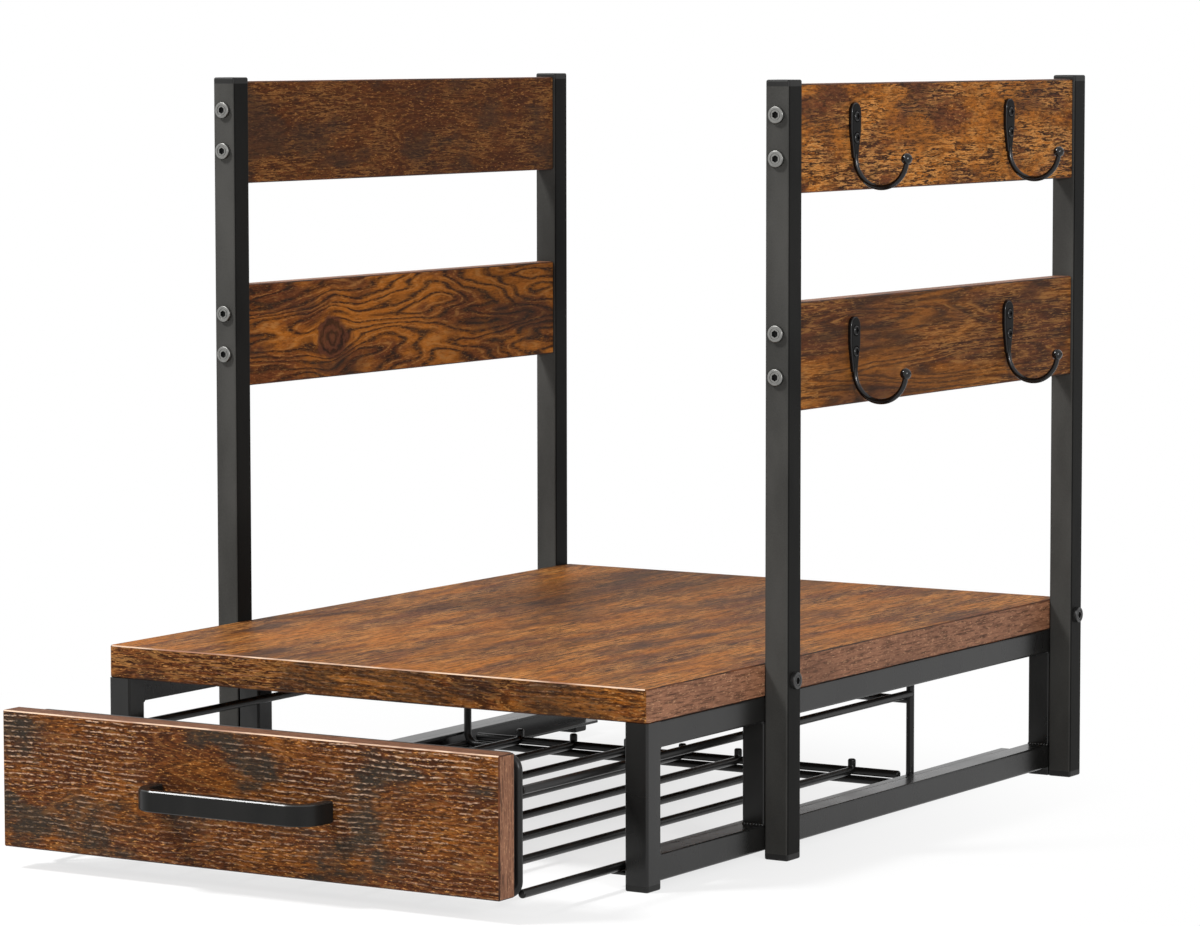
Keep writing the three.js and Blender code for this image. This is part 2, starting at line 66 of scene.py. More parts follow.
# %% Camera
IMAGE_WIDTH = 1200
SENSOR_WIDTH = 36.0
FOCAL_PIXELS = 4740.3
CAMERA_PLACE = Vector((1.2309, -1.9264, 0.3789))
CAMERA_AZIMUTH = math.radians(31.85)
CAMERA_ELEVATION = math.radians(5.12)
CAMERA_ROLL = math.radians(-0.07)
FAR_LIMIT = 50.0

turn = Matrix.Rotation(CAMERA_AZIMUTH, 3, "Z")
tilt = Matrix.Rotation(math.pi / 2 - CAMERA_ELEVATION, 3, "X")
roll = Matrix.Rotation(CAMERA_ROLL, 3, "Z")
bpy.ops.object.camera_add(location=CAMERA_PLACE, rotation=(turn @ tilt @ roll).to_euler())
camera = bpy.context.object
camera.data.sensor_width = SENSOR_WIDTH
camera.data.lens = FOCAL_PIXELS * SENSOR_WIDTH / IMAGE_WIDTH
camera.data.clip_end = FAR_LIMIT
bpy.context.scene.camera = camera
print("lens:", round(camera.data.lens, 1), "mm")

# %% [markdown]
# ## Nodes in few words
# A material is a tree of nodes. In the shader editor they are added and joined with the mouse, and in a
# script each one takes several lines. These helpers add a node, set its options and join its inputs in
# order, so that a finish below reads as a recipe and not as a list of sockets.

# %% Node helpers
MIX_COLOURS = slice(6, 8)
MIX_RESULT = 2


def feed(tree, socket, value):
    """Joins an output to a socket, or sets the socket to a plain value."""
    if isinstance(value, bpy.types.NodeSocket):
        tree.links.new(value, socket)
    elif value is not None:
        socket.default_value = value


def node(tree, kind, *inputs, **options):
    """Adds a node, feeds its inputs in order, and gives back its outputs."""
    made = tree.nodes.new(kind)
    for name, value in options.items():
        setattr(made, name, value)
    for socket, value in zip(made.inputs, inputs):
        feed(tree, socket, value)
    return made.outputs


def math_of(tree, operation, *values):
    return node(tree, "ShaderNodeMath", *values, operation=operation)[0]


def vector_of(tree, operation, *values):
    """An operation on vectors; LENGTH gives a number and every other one a vector."""
    made = node(tree, "ShaderNodeVectorMath", *values, operation=operation)
    return made["Value"] if operation == "LENGTH" else made["Vector"]


def scaled(tree, vector, by):
    return vector_of(tree, "MULTIPLY", vector, by)


def shifted(tree, vector, by):
    return vector_of(tree, "ADD", vector, by)


def noise(tree, vector, detail=2.0, roughness=0.5):
    return node(tree, "ShaderNodeTexNoise", vector, None, 1.0, detail, roughness)[0]


def mask(tree, value, low, high, bottom=0.0, top=1.0):
    """A soft step from bottom, where a value is below low, to top, where it is above high.

    Where low is the larger of the two, the step runs the other way.
    """
    return node(tree, "ShaderNodeMapRange", value, low, high, bottom, top,
                interpolation_type="SMOOTHSTEP")[0]


def blend(tree, factor, first, second):
    """Mixes two colours, each an output or a plain triple."""
    made = node(tree, "ShaderNodeMix", factor, data_type="RGBA")
    for socket, colour in zip(made[0].node.inputs[MIX_COLOURS], (first, second)):
        feed(tree, socket, (*colour, 1.0) if isinstance(colour, tuple) else colour)
    return made[MIX_RESULT]


print("a Mix node keeps its colours in sockets", MIX_COLOURS.start, "and", MIX_COLOURS.stop - 1)

# %% Group and material helpers
VECTOR = "NodeSocketVector"
FLOAT = "NodeSocketFloat"
COLOUR = "NodeSocketColor"
LOOK = {"Color": COLOUR, "Roughness": FLOAT, "Height": FLOAT}
SEED_STEP = Vector((311.0, 173.0, 97.0))


def new_group(name, inputs, outputs=LOOK):
    """A node group with its sockets; gives back the tree and the sockets inside it."""
    group = bpy.data.node_groups.new(name, "ShaderNodeTree")
    for in_out, sockets in (("INPUT", inputs), ("OUTPUT", outputs)):
        for label, kind in sockets.items():
            group.interface.new_socket(name=label, in_out=in_out, socket_type=kind)
    return group, group.nodes.new("NodeGroupInput").outputs, group.nodes.new("NodeGroupOutput").inputs


def placed_group(tree, group, **inputs):
    """Puts a group into a tree, with its inputs by name; gives back its outputs."""
    made = tree.nodes.new("ShaderNodeGroup")
    made.node_tree = group
    for label, value in inputs.items():
        feed(tree, made.inputs[label], value)
    return made.outputs


def new_material(name, **values):
    """A material with one Principled BSDF, whose constant values sit on its own sockets."""
    material = bpy.data.materials.new(name)
    material.use_nodes = True
    shader = material.node_tree.nodes["Principled BSDF"]
    for label, value in values.items():
        shader.inputs[label.replace("_", " ")].default_value = value
    return material, material.node_tree, shader


def surface(tree, shader, colour, roughness, height=None, strength=0.0, depth=0.0):
    """Joins a look to a shader; depth is the height of the relief in millimetres."""
    feed(tree, shader.inputs["Base Color"], colour)
    feed(tree, shader.inputs["Roughness"], roughness)
    if height is not None:
        relief = node(tree, "ShaderNodeBump", strength, depth * MM, 1.0)[0]
        feed(tree, relief.node.inputs["Height"], height)
        feed(tree, shader.inputs["Normal"], relief)


def millimetres(tree, along=X, across=Y, seed=0.0):
    """Object coordinates in millimetres, turned so that X runs along the grain and Y across it.

    The seed shifts the pattern, so that no two pieces show the same stretch of it.
    """
    place = node(tree, "ShaderNodeTexCoord")["Object"]
    turned = Matrix((along, across, along.cross(across))).to_euler()
    per_metre = (1 / MM, 1 / MM, 1 / MM)
    return node(tree, "ShaderNodeMapping", place, seed * SEED_STEP, turned, per_metre)[0]


print("each look gives", list(LOOK))

# %% [markdown]
# ## The printed laminate
# The wood is a rustic print on chipboard, pressed with a fine relief. A picture of wood could be laid on
# each panel, but it would repeat and bring its own light along. Here the print is built from noises that
# are stretched along the grain, because its layers are easy to tell apart: clouds of soot and of orange,
# growth lines, dark dashes, cracks, bright lips beside the cracks and lines, which are painted
# highlight, and rows of pale ridges above dark grooves, which are the painted highlight and painted
# shadow of the pressed relief. Rows come from rounding the place across the grain, so that each row
# breaks up in its own way.

# %% Clouds of the print
INTO_GRAIN = 0.01
# For each cloud: how often it changes in a millimetre along and across the grain, how far it is shifted
# from the others, its detail and its roughness.
CLOUDS = {
    "wander": (0.006, 0.014, (3, 5, 7), 2.0, 0.6),
    "jitter": (0.12, 0.16, (11, 2, 4), 3.0, 0.65),
    "smoke": (0.016, 0.030, (0, 0, 0), 5.0, 0.6),
    "glow": (0.017, 0.042, (40, 17, 5), 5.0, 0.6),
    "patchy": (0.010, 0.026, (70, 33, 1), 4.0, 0.6),
    "dashes": (0.16, 0.85, (9, 21, 3), 3.0, 0.7),
    "grit": (0.32, 1.30, (17, 4, 8), 2.0, 0.7),
    "crack": (0.075, 0.80, (5, 9, 2), 3.0, 0.6),
    "cracked": (0.025, 0.06, (21, 60, 9), 3.0, 0.6),
}
ink, given, result = new_group("laminate_print", {
    "Grain": VECTOR, "Smoke": FLOAT, "Glow": FLOAT, "Grit": FLOAT, "Rows": FLOAT, "Lines": FLOAT,
    "Cracks": FLOAT, "Shade": FLOAT})
clouds = {}
for name, (along, across, shift, detail, roughness) in CLOUDS.items():
    place = shifted(ink, scaled(ink, given["Grain"], (along, across, INTO_GRAIN)), shift)
    clouds[name] = noise(ink, place, detail, roughness)
print("clouds of the print:", list(clouds))

# %% Rows and growth lines
WANDER_REACH = 6.0
JITTER_REACH = 1.0
ROW_PITCH = 2.4
ROW_BREAKS = 0.15
ROW_APART = 7.31
ROW_SLICE = 5.0
GROWTH_ALONG = 0.007
GROWTH_ACROSS = 0.045
GROWTH_LINES = 16.0


def swing(name, reach):
    """Turns a cloud of 0 to 1 into plus or minus the reach."""
    return math_of(ink, "MULTIPLY_ADD", clouds[name], 2 * reach, -reach)


def part_of(value, *weights):
    """A value times each of the weights."""
    for weight in weights:
        value = math_of(ink, "MULTIPLY", value, weight)
    return value


def where(name, low, high):
    """1 where a cloud is above high, and 0 where it is below low."""
    return mask(ink, clouds[name], low, high)


def near(value, target, far, close):
    """1 where a value is close to the target, and 0 where it is far from it."""
    return mask(ink, math_of(ink, "ABSOLUTE", math_of(ink, "SUBTRACT", value, target)), far, close)


along, across, through = node(ink, "ShaderNodeSeparateXYZ", given["Grain"])
wavy = math_of(ink, "ADD", across, swing("wander", WANDER_REACH))
wavy = math_of(ink, "ADD", wavy, swing("jitter", JITTER_REACH))

rows = math_of(ink, "DIVIDE", wavy, ROW_PITCH)
across_row = math_of(ink, "FRACT", rows)
row_number = math_of(ink, "FLOOR", rows)
run = node(ink, "ShaderNodeCombineXYZ", part_of(along, ROW_BREAKS), part_of(row_number, ROW_APART),
           ROW_SLICE)[0]
broken = part_of(mask(ink, noise(ink, run, 3.0, 0.65), 0.38, 0.56), where("patchy", 0.38, 0.58))
# The pale ridges and dark grooves of each row give the relief its height, and their colours are its
# painted highlight and painted shadow.
ridge_with_painted_highlight = part_of(near(across_row, 0.62, 0.20, 0.04), broken, where("grit", 0.40, 0.56))
groove_with_painted_shadow = part_of(near(across_row, 0.26, 0.30, 0.08), broken)

growth = node(ink, "ShaderNodeCombineXYZ", part_of(along, GROWTH_ALONG), part_of(wavy, GROWTH_ACROSS),
              through)[0]
contour = math_of(ink, "FRACT", part_of(noise(ink, growth, 2.0, 0.45), GROWTH_LINES))
line = part_of(near(contour, 0.5, 0.30, 0.05), where("dashes", 0.34, 0.52))
beside = part_of(near(contour, 0.12, 0.14, 0.03), where("dashes", 0.56, 0.44))
print("rows every", ROW_PITCH, "mm")

# %% Colours of the print
SOOT = (0.022, 0.021, 0.017)
UMBER = (0.020, 0.008, 0.004)
BROWN = (0.140, 0.040, 0.011)
AMBER = (0.400, 0.128, 0.015)
GOLD = (0.720, 0.340, 0.100)
PAINTED_HIGHLIGHT_CREAM = (0.540, 0.365, 0.255)

smoke = where("smoke", 0.50, 0.62)
clear = math_of(ink, "MULTIPLY_ADD", smoke, -0.7, 1.0)
shard = part_of(where("cracked", 0.38, 0.58), given["Cracks"])
split = part_of(near(clouds["crack"], 0.45, 0.060, 0.020), shard)
# The bright lips beside the cracks and the growth lines are painted highlight on their pressed edges.
lip_painted_highlight = part_of(near(clouds["crack"], 0.55, 0.055, 0.015), shard)
lip_painted_highlight = math_of(ink, "MAXIMUM", lip_painted_highlight, part_of(beside, given["Lines"], 0.6))
spark = part_of(where("grit", 0.56, 0.72), given["Grit"])

# The layers lie on the brown ground in this order, each with its colour and its strength.
layers = (
    (AMBER, part_of(where("glow", 0.42, 0.62), given["Glow"])),
    (UMBER, given["Shade"]),
    (UMBER, part_of(where("dashes", 0.54, 0.38), given["Grit"], 0.8)),
    (UMBER, part_of(line, given["Lines"])),
    (UMBER, split),
    (SOOT, part_of(smoke, given["Smoke"])),
    (UMBER, part_of(where("grit", 0.46, 0.34), given["Grit"], 0.75)),
    # The grooves are painted shadow, the golden lips painted highlight among golden flecks of the print,
    # and the ridges painted highlight.
    (UMBER, part_of(groove_with_painted_shadow, given["Rows"], 0.9)),
    (GOLD, part_of(math_of(ink, "MAXIMUM", lip_painted_highlight, spark), clear, 0.6)),
    (PAINTED_HIGHLIGHT_CREAM, part_of(ridge_with_painted_highlight, given["Rows"])),
)
colour = BROWN
for tint, amount in layers:
    colour = blend(ink, amount, colour, tint)
pressed = part_of(math_of(ink, "SUBTRACT", ridge_with_painted_highlight, groove_with_painted_shadow), given["Rows"])
feed(ink, result["Color"], colour)
feed(ink, result["Roughness"], math_of(ink, "MULTIPLY_ADD", clouds["dashes"], -0.3, 0.68))
feed(ink, result["Height"], math_of(ink, "ADD", pressed, part_of(clouds["grit"], 0.9)))
print("laminate print:", len(layers), "layers,", len(ink.nodes), "nodes")

# %% [markdown]
# ## A knot
# One slat shows a knot, and its growth lines flow round it. A dark spot laid on top would leave the
# lines straight. So this group moves the places near the knot apart before the print reads them, as a
# stone parts a stream, and marks the knot itself with rings.

# %% Knot group
KNOT_RADIUS = 9.0
KNOT_WAKE = 13.0
KNOT_OVAL = (0.070, 0.085, 0.0)
KNOT_RAGGED = 0.3
KNOT_GRIT = (0.25, 0.25, 0.25)
KNOT_RINGS = 17.0

flow, given, result = new_group(
    "knot_flow", {"Grain": VECTOR, "Centre": VECTOR}, {"Grain": VECTOR, "Knot": FLOAT, "Rings": FLOAT})
offset = vector_of(flow, "SUBTRACT", given["Grain"], given["Centre"])
along, across, through = node(flow, "ShaderNodeSeparateXYZ", offset)
reach = math_of(flow, "DIVIDE", math_of(flow, "ABSOLUTE", along), KNOT_WAKE)
fall = math_of(flow, "EXPONENT", math_of(flow, "MULTIPLY", math_of(flow, "POWER", reach, 2.0), -1.0))
wake = math_of(flow, "MULTIPLY", fall, KNOT_RADIUS ** 2)
square = math_of(flow, "MULTIPLY", across, across)
cubed = math_of(flow, "MULTIPLY", square, across)
parted = math_of(flow, "DIVIDE", cubed, math_of(flow, "ADD", square, wake))
flowing = node(flow, "ShaderNodeCombineXYZ", along, parted, through)[0]
ragged = noise(flow, scaled(flow, offset, KNOT_GRIT), 3.0)
ragged = math_of(flow, "MULTIPLY_ADD", ragged, 2 * KNOT_RAGGED, -KNOT_RAGGED)
oval = math_of(flow, "ADD", vector_of(flow, "LENGTH", scaled(flow, offset, KNOT_OVAL)), ragged)
waves = math_of(flow, "SINE", math_of(flow, "MULTIPLY", oval, KNOT_RINGS))
feed(flow, result["Grain"], shifted(flow, flowing, given["Centre"]))
feed(flow, result["Knot"], mask(flow, oval, 1.05, 0.8))
feed(flow, result["Rings"], math_of(flow, "MULTIPLY_ADD", waves, 0.5, 0.5))
print("knot:", len(flow.nodes), "nodes")

# %% [markdown]
# ## The print on each panel
# The real panels are cut from different places of the same sheet. One material could serve them all,
# but then each would be as sooty or as orange as the next. Each set of faces gets the print with its
# own seed, direction and amounts, which were set with the render beside the photograph.

# %% Laminate materials
KNOT_RED = (0.110, 0.036, 0.017)
KNOT_STRENGTH = 0.9
FEWEST_ROWS = 0.25
PRINT_STRENGTH = 0.35
PRINT_DEPTH = 0.2


def laminate(name, along, across, seed, knot=None, rows_fade=None, stretch=1.0, shine=0.05, **amounts):
    """The print on one set of faces; a knot is given by its place along and across the grain, in mm.

    Where rows_fade is given, the rows fade in between two heights in metres. A stretch above 1 draws
    the whole print out along the grain.
    """
    material, tree, shader = new_material(name, Specular_IOR_Level=shine)
    if rows_fade:
        height = node(tree, "ShaderNodeSeparateXYZ", node(tree, "ShaderNodeTexCoord")["Object"])[2]
        share = node(tree, "ShaderNodeMapRange", height, *rows_fade, FEWEST_ROWS, 1.0)[0]
        amounts["Rows"] = math_of(tree, "MULTIPLY", share, amounts["Rows"])
    grain = millimetres(tree, along, across, seed)
    if stretch != 1.0:
        grain = scaled(tree, grain, (1 / stretch, 1.0, 1.0))
    if knot:
        parted = placed_group(tree, flow, Grain=grain, Centre=Vector((*knot, 0)) + seed * SEED_STEP)
        grain = parted["Grain"]
    look = placed_group(tree, ink, Grain=grain, **amounts)
    colour = look["Color"]
    if knot:
        heart = blend(tree, parted["Rings"], UMBER, KNOT_RED)
        colour = blend(tree, math_of(tree, "MULTIPLY", parted["Knot"], KNOT_STRENGTH), colour, heart)
    surface(tree, shader, colour, look["Roughness"], look["Height"], PRINT_STRENGTH, PRINT_DEPTH)
    return material


drawer_bottom, drawer_top = (corner.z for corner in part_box("drawer_front"))
board_top = laminate("laminate_board_top", Y, X, 1.0, stretch=1.8, shine=0.03, Smoke=0.4, Glow=1.7,
                     Grit=0.85, Lines=0.4, Cracks=0.8, Shade=0.07)
board_front = laminate("laminate_board_front", X, Z, 2.0, Smoke=0.5, Glow=0.9, Grit=1.0, Rows=0.15,
                       Lines=0.7, Cracks=0.5, Shade=0.15)
drawer_face = laminate("laminate_drawer_face", X, Z, 15.0, rows_fade=(drawer_bottom, drawer_top),
                       Smoke=0.9, Glow=0.65, Grit=1.0, Rows=1.0, Lines=0.4, Shade=0.4)
slat_faces = {
    ("right", "upper"): laminate("laminate_slat_a", Y, Z, 4.0, Smoke=0.15, Glow=1.5, Grit=0.9,
                                 Lines=0.3, Cracks=1.0),
    # This slat's Shade darkens it as a whole, partly for its darker print and partly as painted shade.
    ("right", "lower"): laminate("laminate_slat_b", Y, Z, 5.0, stretch=1.9, Smoke=0.2, Glow=1.0,
                                 Grit=0.6, Lines=0.75, Cracks=0.4, Shade=0.4),
    ("left", "upper"): laminate("laminate_slat_c", Y, Z, 6.0, Smoke=0.45, Glow=0.15, Grit=0.7,
                                Lines=0.3, Cracks=0.4, Shade=0.4),
    ("left", "lower"): laminate("laminate_slat_d", Y, Z, 7.0, knot=(41.0, 228.0), Smoke=0.4, Glow=1.2,
                                Grit=0.45, Lines=0.95, Cracks=0.1),
}
print_finishes = (board_top, board_front, drawer_face, *slat_faces.values())
print("laminate materials:", len(print_finishes))

# %% [markdown]
# ## Edge band and seam
# The cut sides of a laminate panel are closed with a glued band. It is duller and pinker than the
# print, with a short grain along the panel. Where it meets the print, the trimmed corner shows as a
# fine dark line, browner where the print is scuffed away. On the top and left edges of the fronts that
# line is pale instead, a painted highlight. The line could be painted into the band, but on the faces
# of a real bevel it keeps its width and catches the light from every side.

# %% Edge band group
BAND = (0.260, 0.116, 0.062)
BAND_DARK = (0.062, 0.024, 0.012)
BAND_PALE = (0.620, 0.350, 0.190)
BAND_STRENGTH = 0.25
BAND_DEPTH = 0.15

band, given, result = new_group("edge_band", {"Grain": VECTOR, "Shade": FLOAT})
streaks = noise(band, scaled(band, given["Grain"], (0.11, 1.2, INTO_GRAIN)), 4.0, 0.65)
dots = shifted(band, scaled(band, given["Grain"], (0.50, 1.5, INTO_GRAIN)), (7, 3, 1))
drift = noise(band, scaled(band, given["Grain"], (0.02, 0.05, INTO_GRAIN)), 3.0, 0.6)
colour = blend(band, mask(band, streaks, 0.42, 0.68), BAND, BAND_DARK)
colour = blend(band, mask(band, noise(band, dots, 2.5, 0.6), 0.55, 0.72, top=0.6), colour, BAND_PALE)
colour = blend(band, mask(band, drift, 0.45, 0.7, top=0.45), colour, BAND_DARK)
feed(band, result["Color"], blend(band, given["Shade"], colour, BAND_DARK))
feed(band, result["Roughness"], math_of(band, "MULTIPLY_ADD", streaks, 0.2, 0.42))
feed(band, result["Height"], streaks)


def edge_band(name, along, across, seed, shade=0.0, shine=0.15):
    """The band on one set of narrow faces; shade darkens it."""
    material, tree, shader = new_material(name, Specular_IOR_Level=shine)
    look = placed_group(tree, band, Grain=millimetres(tree, along, across, seed), Shade=shade)
    surface(tree, shader, *look, BAND_STRENGTH, BAND_DEPTH)
    return material


band_along_y = edge_band("edge_band_along_y", Y, Z, 1.0)
band_along_x = edge_band("edge_band_along_x", X, Y, 2.0, shade=0.5, shine=0.03)
band_upright = edge_band("edge_band_upright", Z, Y, 3.0, shade=0.18)
band_slat = edge_band("edge_band_slat", Y, X, 4.0)
print("edge bands:", len(band.nodes), "nodes in the group")

# %% Trimmed edges
# The pale tone of the painted highlight on the edges that face the key light.
PAINTED_HIGHLIGHT_TONE = (0.620, 0.440, 0.310)
PALE_PATCH_SCALE = (0.018, 0.05, 0.05)
EDGE_SHINE = 0.15

edge_patches, given, result = new_group(
    "edge_pale_patches", {"Place": VECTOR, "Whole": COLOUR, "Rubbed": COLOUR, "Low": FLOAT, "High": FLOAT},
    {"Color": COLOUR, "Roughness": FLOAT})
# Pale patches along a trimmed corner: browner patches on the seam, and the painted highlight on the
# edges that face the key light.
pale_patch_noise = noise(edge_patches, scaled(edge_patches, given["Place"], PALE_PATCH_SCALE), 4.0, 0.65)
pale_patch_share = mask(edge_patches, pale_patch_noise, given["Low"], given["High"])
feed(edge_patches, result["Color"], blend(edge_patches, pale_patch_share, given["Whole"], given["Rubbed"]))
feed(edge_patches, result["Roughness"], math_of(edge_patches, "MULTIPLY_ADD", pale_patch_noise, 0.2, 0.4))


def trimmed_edge(name, whole, paler_tone, low, high):
    """A trimmed corner, dark where the print is whole and paler in patches: browner on the seam, and a
    painted highlight on the lit edges.
    """
    material, tree, shader = new_material(name, Specular_IOR_Level=EDGE_SHINE)
    look = placed_group(tree, edge_patches, Place=millimetres(tree), Whole=(*whole, 1.0),
                        Rubbed=(*paler_tone, 1.0), Low=low, High=high)
    surface(tree, shader, *look)
    return material


seam = trimmed_edge("laminate_seam", UMBER, BROWN, 0.4, 0.7)
# A pale line on the trimmed edges that face the key light: painted highlight.
lit_edge_painted_highlight = trimmed_edge("laminate_edge_painted_highlight", BAND, PAINTED_HIGHLIGHT_TONE, 0.36, 0.56)
print("trimmed edges:", seam.name, "and", lit_edge_painted_highlight.name)

# %% [markdown]
# ## Black steel, wire and plastic
# Powder coat has a fine orange-peel skin that breaks up reflections. One black could do for everything,
# but the photograph shows several: the fronts of the posts are greyer than their sides, the frames are
# satin, the hooks are glossy with a flat face, and the plugs are dull plastic. The darker sides of the
# posts are a copy of the coat with painted shade. One group gives the skin and a slow change of shade,
# and each finish places it with its own tones, gloss and depth.

# %% Coat group
SKIN = (2.4, 2.4, 2.4)
HAZE = (0.03, 0.03, 0.012)
COAT_STRENGTH = 0.3

coat, given, result = new_group(
    "coat_skin", {"Place": VECTOR, "Dark": COLOUR, "Light": COLOUR, "Gloss": FLOAT})
skin = noise(coat, scaled(coat, given["Place"], SKIN), 2.0, 0.55)
haze = noise(coat, scaled(coat, given["Place"], HAZE), 3.0, 0.6)
shade = mask(coat, math_of(coat, "MULTIPLY_ADD", skin, 0.35, haze), 0.45, 0.9)
feed(coat, result["Color"], blend(coat, shade, given["Dark"], given["Light"]))
feed(coat, result["Roughness"], math_of(coat, "MULTIPLY_ADD", haze, 0.12, given["Gloss"]))
feed(coat, result["Height"], skin)
print("coat:", len(coat.nodes), "nodes")

# %% Black finishes
# For each finish: its dark and light tone, its roughness, the depth of its skin in millimetres, and the
# strength of its reflections. The trimmed upper edge of the handle has a finish of its own, which keeps
# the bright line that it shows. The sides of the posts take a darker copy of the front coat, painted
# shade. The bolts in the board's edges take a dark coat in place of their zinc, painted shade, and the
# insides of the sockets a near-black one, painted shade in the recesses.
BLACKS = {
    "post_front": ((0.034, 0.0332, 0.0310), (0.054, 0.0526, 0.0490), 0.42, 0.05, 0.03),
    "post_side_painted_shade": ((0.006, 0.0059, 0.0056), (0.012, 0.0117, 0.0110), 0.35, 0.05, 0.03),
    "frame_black": ((0.006, 0.0059, 0.0056), (0.013, 0.0127, 0.0121), 0.22, 0.03, 0.30),
    "handle_black": ((0.005, 0.005, 0.0047), (0.010, 0.0096, 0.009), 0.25, 0.02, 0.15),
    "handle_rim": ((0.010, 0.010, 0.0095), (0.020, 0.0195, 0.019), 0.12, 0.01, 0.45),
    "wire_black": ((0.006, 0.006, 0.006), (0.012, 0.0115, 0.011), 0.26, 0.02, 0.25),
    "hook_gloss": ((0.002, 0.002, 0.002), (0.004, 0.0038, 0.0037), 0.14, 0.005, 0.38),
    "hook_flat": ((0.002, 0.002, 0.002), (0.004, 0.0038, 0.0037), 0.30, 0.01, 0.04),
    "plug_black": ((0.008, 0.008, 0.0075), (0.014, 0.0135, 0.013), 0.45, 0.08, 0.2),
    "socket_painted_shade": ((0.003, 0.003, 0.003), (0.006, 0.006, 0.006), 0.6, 0.02, 0.2),
    "board_bolt_painted_shade": ((0.010, 0.010, 0.010), (0.022, 0.0215, 0.021), 0.30, 0.02, 0.4),
}


def black_coat(name, dark, light, gloss, depth, shine):
    """One black finish, with its values in the order of the table."""
    material, tree, shader = new_material(name, Specular_IOR_Level=shine)
    look = placed_group(tree, coat, Place=millimetres(tree), Gloss=gloss, Dark=(*dark, 1.0),
                        Light=(*light, 1.0))
    surface(tree, shader, *look, COAT_STRENGTH, depth)
    return material


black = {name: black_coat(name, *values) for name, values in BLACKS.items()}
print("black finishes:", list(black))

# %% [markdown]
# ## Zinc
# The bolts of the slats and the screws of the drawer are bright zinc, with the fine rings that the
# lathe leaves. Rings could follow the object's own place, but a copied bolt lies elsewhere. So each
# bolt's mesh keeps every corner's distance from its axis, and the rings run on that.

# %% Zinc
ZINC_DARK = (0.17, 0.17, 0.162)
ZINC_LIGHT = (0.28, 0.276, 0.263)
ZINC_BLOTCH = (0.5, 0.5, 0.5)
ZINC_STRENGTH = 0.2
ZINC_DEPTH = 0.03
LATHE_PITCH = 0.35 * MM

zinc, tree, shader = new_material("bright_zinc", Metallic=1.0)
radius = node(tree, "ShaderNodeAttribute", attribute_name="from_axis")["Fac"]
rings = math_of(tree, "SINE", math_of(tree, "MULTIPLY", radius, 2 * math.pi / LATHE_PITCH))
blotch = noise(tree, scaled(tree, millimetres(tree), ZINC_BLOTCH), 3.0)
surface(tree, shader, blend(tree, blotch, ZINC_DARK, ZINC_LIGHT),
        math_of(tree, "MULTIPLY_ADD", blotch, 0.2, 0.28), rings, ZINC_STRENGTH, ZINC_DEPTH)
print("zinc:", len(tree.nodes), "nodes")

# %% [markdown]
# ## Modelling helpers
# Every piece starts as a primitive at its real size and place. Its place is then applied to the mesh,
# so the object itself sits at the origin, as the CAD nodes do. A mesh could also be written corner by
# corner, but operators keep the steps that a person would take by hand. Faces and edges are picked by
# a test on their middle and their direction, in place of a click.

# %% Adding and picking
FLAT = 0.99


def added(name, primitive, scale=(1, 1, 1), **values):
    """Adds a primitive with nothing else selected, and moves its place and scale into its mesh.

    The scale is set on the object, because only some of the primitives take one themselves.
    """
    bpy.ops.object.select_all(action="DESELECT")
    primitive(**values)
    piece = bpy.context.object
    piece.name = name
    piece.scale = scale
    bpy.ops.object.transform_apply(location=True, rotation=True, scale=True)
    return piece


def block(name, low, high):
    """A cube between two corners, ready to be shaped."""
    return added(name, bpy.ops.mesh.primitive_cube_add, size=1, location=(low + high) / 2,
                 scale=high - low)


def alone(piece):
    """Makes one object the only selected one, in object mode."""
    if bpy.context.object and bpy.context.object.mode == "EDIT":
        bpy.ops.object.mode_set(mode="OBJECT")
    bpy.ops.object.select_all(action="DESELECT")
    piece.select_set(True)
    bpy.context.view_layer.objects.active = piece


def edit(piece):
    alone(piece)
    bpy.ops.object.mode_set(mode="EDIT")


def done(piece):
    bpy.ops.object.mode_set(mode="OBJECT")
    return piece


def pick_faces(piece, test):
    """Selects the faces whose middle and normal pass the test, in edit mode."""
    bpy.ops.mesh.select_mode(type="FACE")
    cage = bmesh.from_edit_mesh(piece.data)
    for face in cage.faces:
        face.select_set(test(face.calc_center_median(), face.normal))
    cage.select_flush_mode()
    bmesh.update_edit_mesh(piece.data)


def pick_edges(piece, test):
    """Selects the edges whose middle and direction pass the test, in edit mode."""
    bpy.ops.mesh.select_mode(type="EDGE")
    cage = bmesh.from_edit_mesh(piece.data)
    for edge in cage.edges:
        start, end = (corner.co for corner in edge.verts)
        edge.select_set(test((start + end) / 2, (end - start).normalized()))
    cage.select_flush_mode()
    bmesh.update_edit_mesh(piece.data)


def facing(direction):
    return lambda middle, normal: normal.dot(direction) > FLAT


def running(direction):
    return lambda middle, way: abs(way.dot(direction)) > FLAT


print("a face looks one way within", round(math.degrees(math.acos(FLAT)), 1), "degrees")

# %% Shaping and finishing
ROUND = 4
SOFT_ANGLE = 35


def select_all():
    bpy.ops.mesh.select_all(action="SELECT")


def extend(run):
    """Extrudes what is selected along a run."""
    bpy.ops.mesh.extrude_region_move(TRANSFORM_OT_translate={"value": run})


def bevel(size, segments=ROUND):
    bpy.ops.mesh.bevel(offset=size, segments=segments, affect="EDGES")


def bevel_sharp(size, segments, degrees=60):
    """Bevels every edge where two faces meet at more than the angle."""
    bpy.ops.mesh.select_mode(type="EDGE")
    bpy.ops.mesh.select_all(action="DESELECT")
    bpy.ops.mesh.edges_select_sharp(sharpness=math.radians(degrees))
    bevel(size, segments)


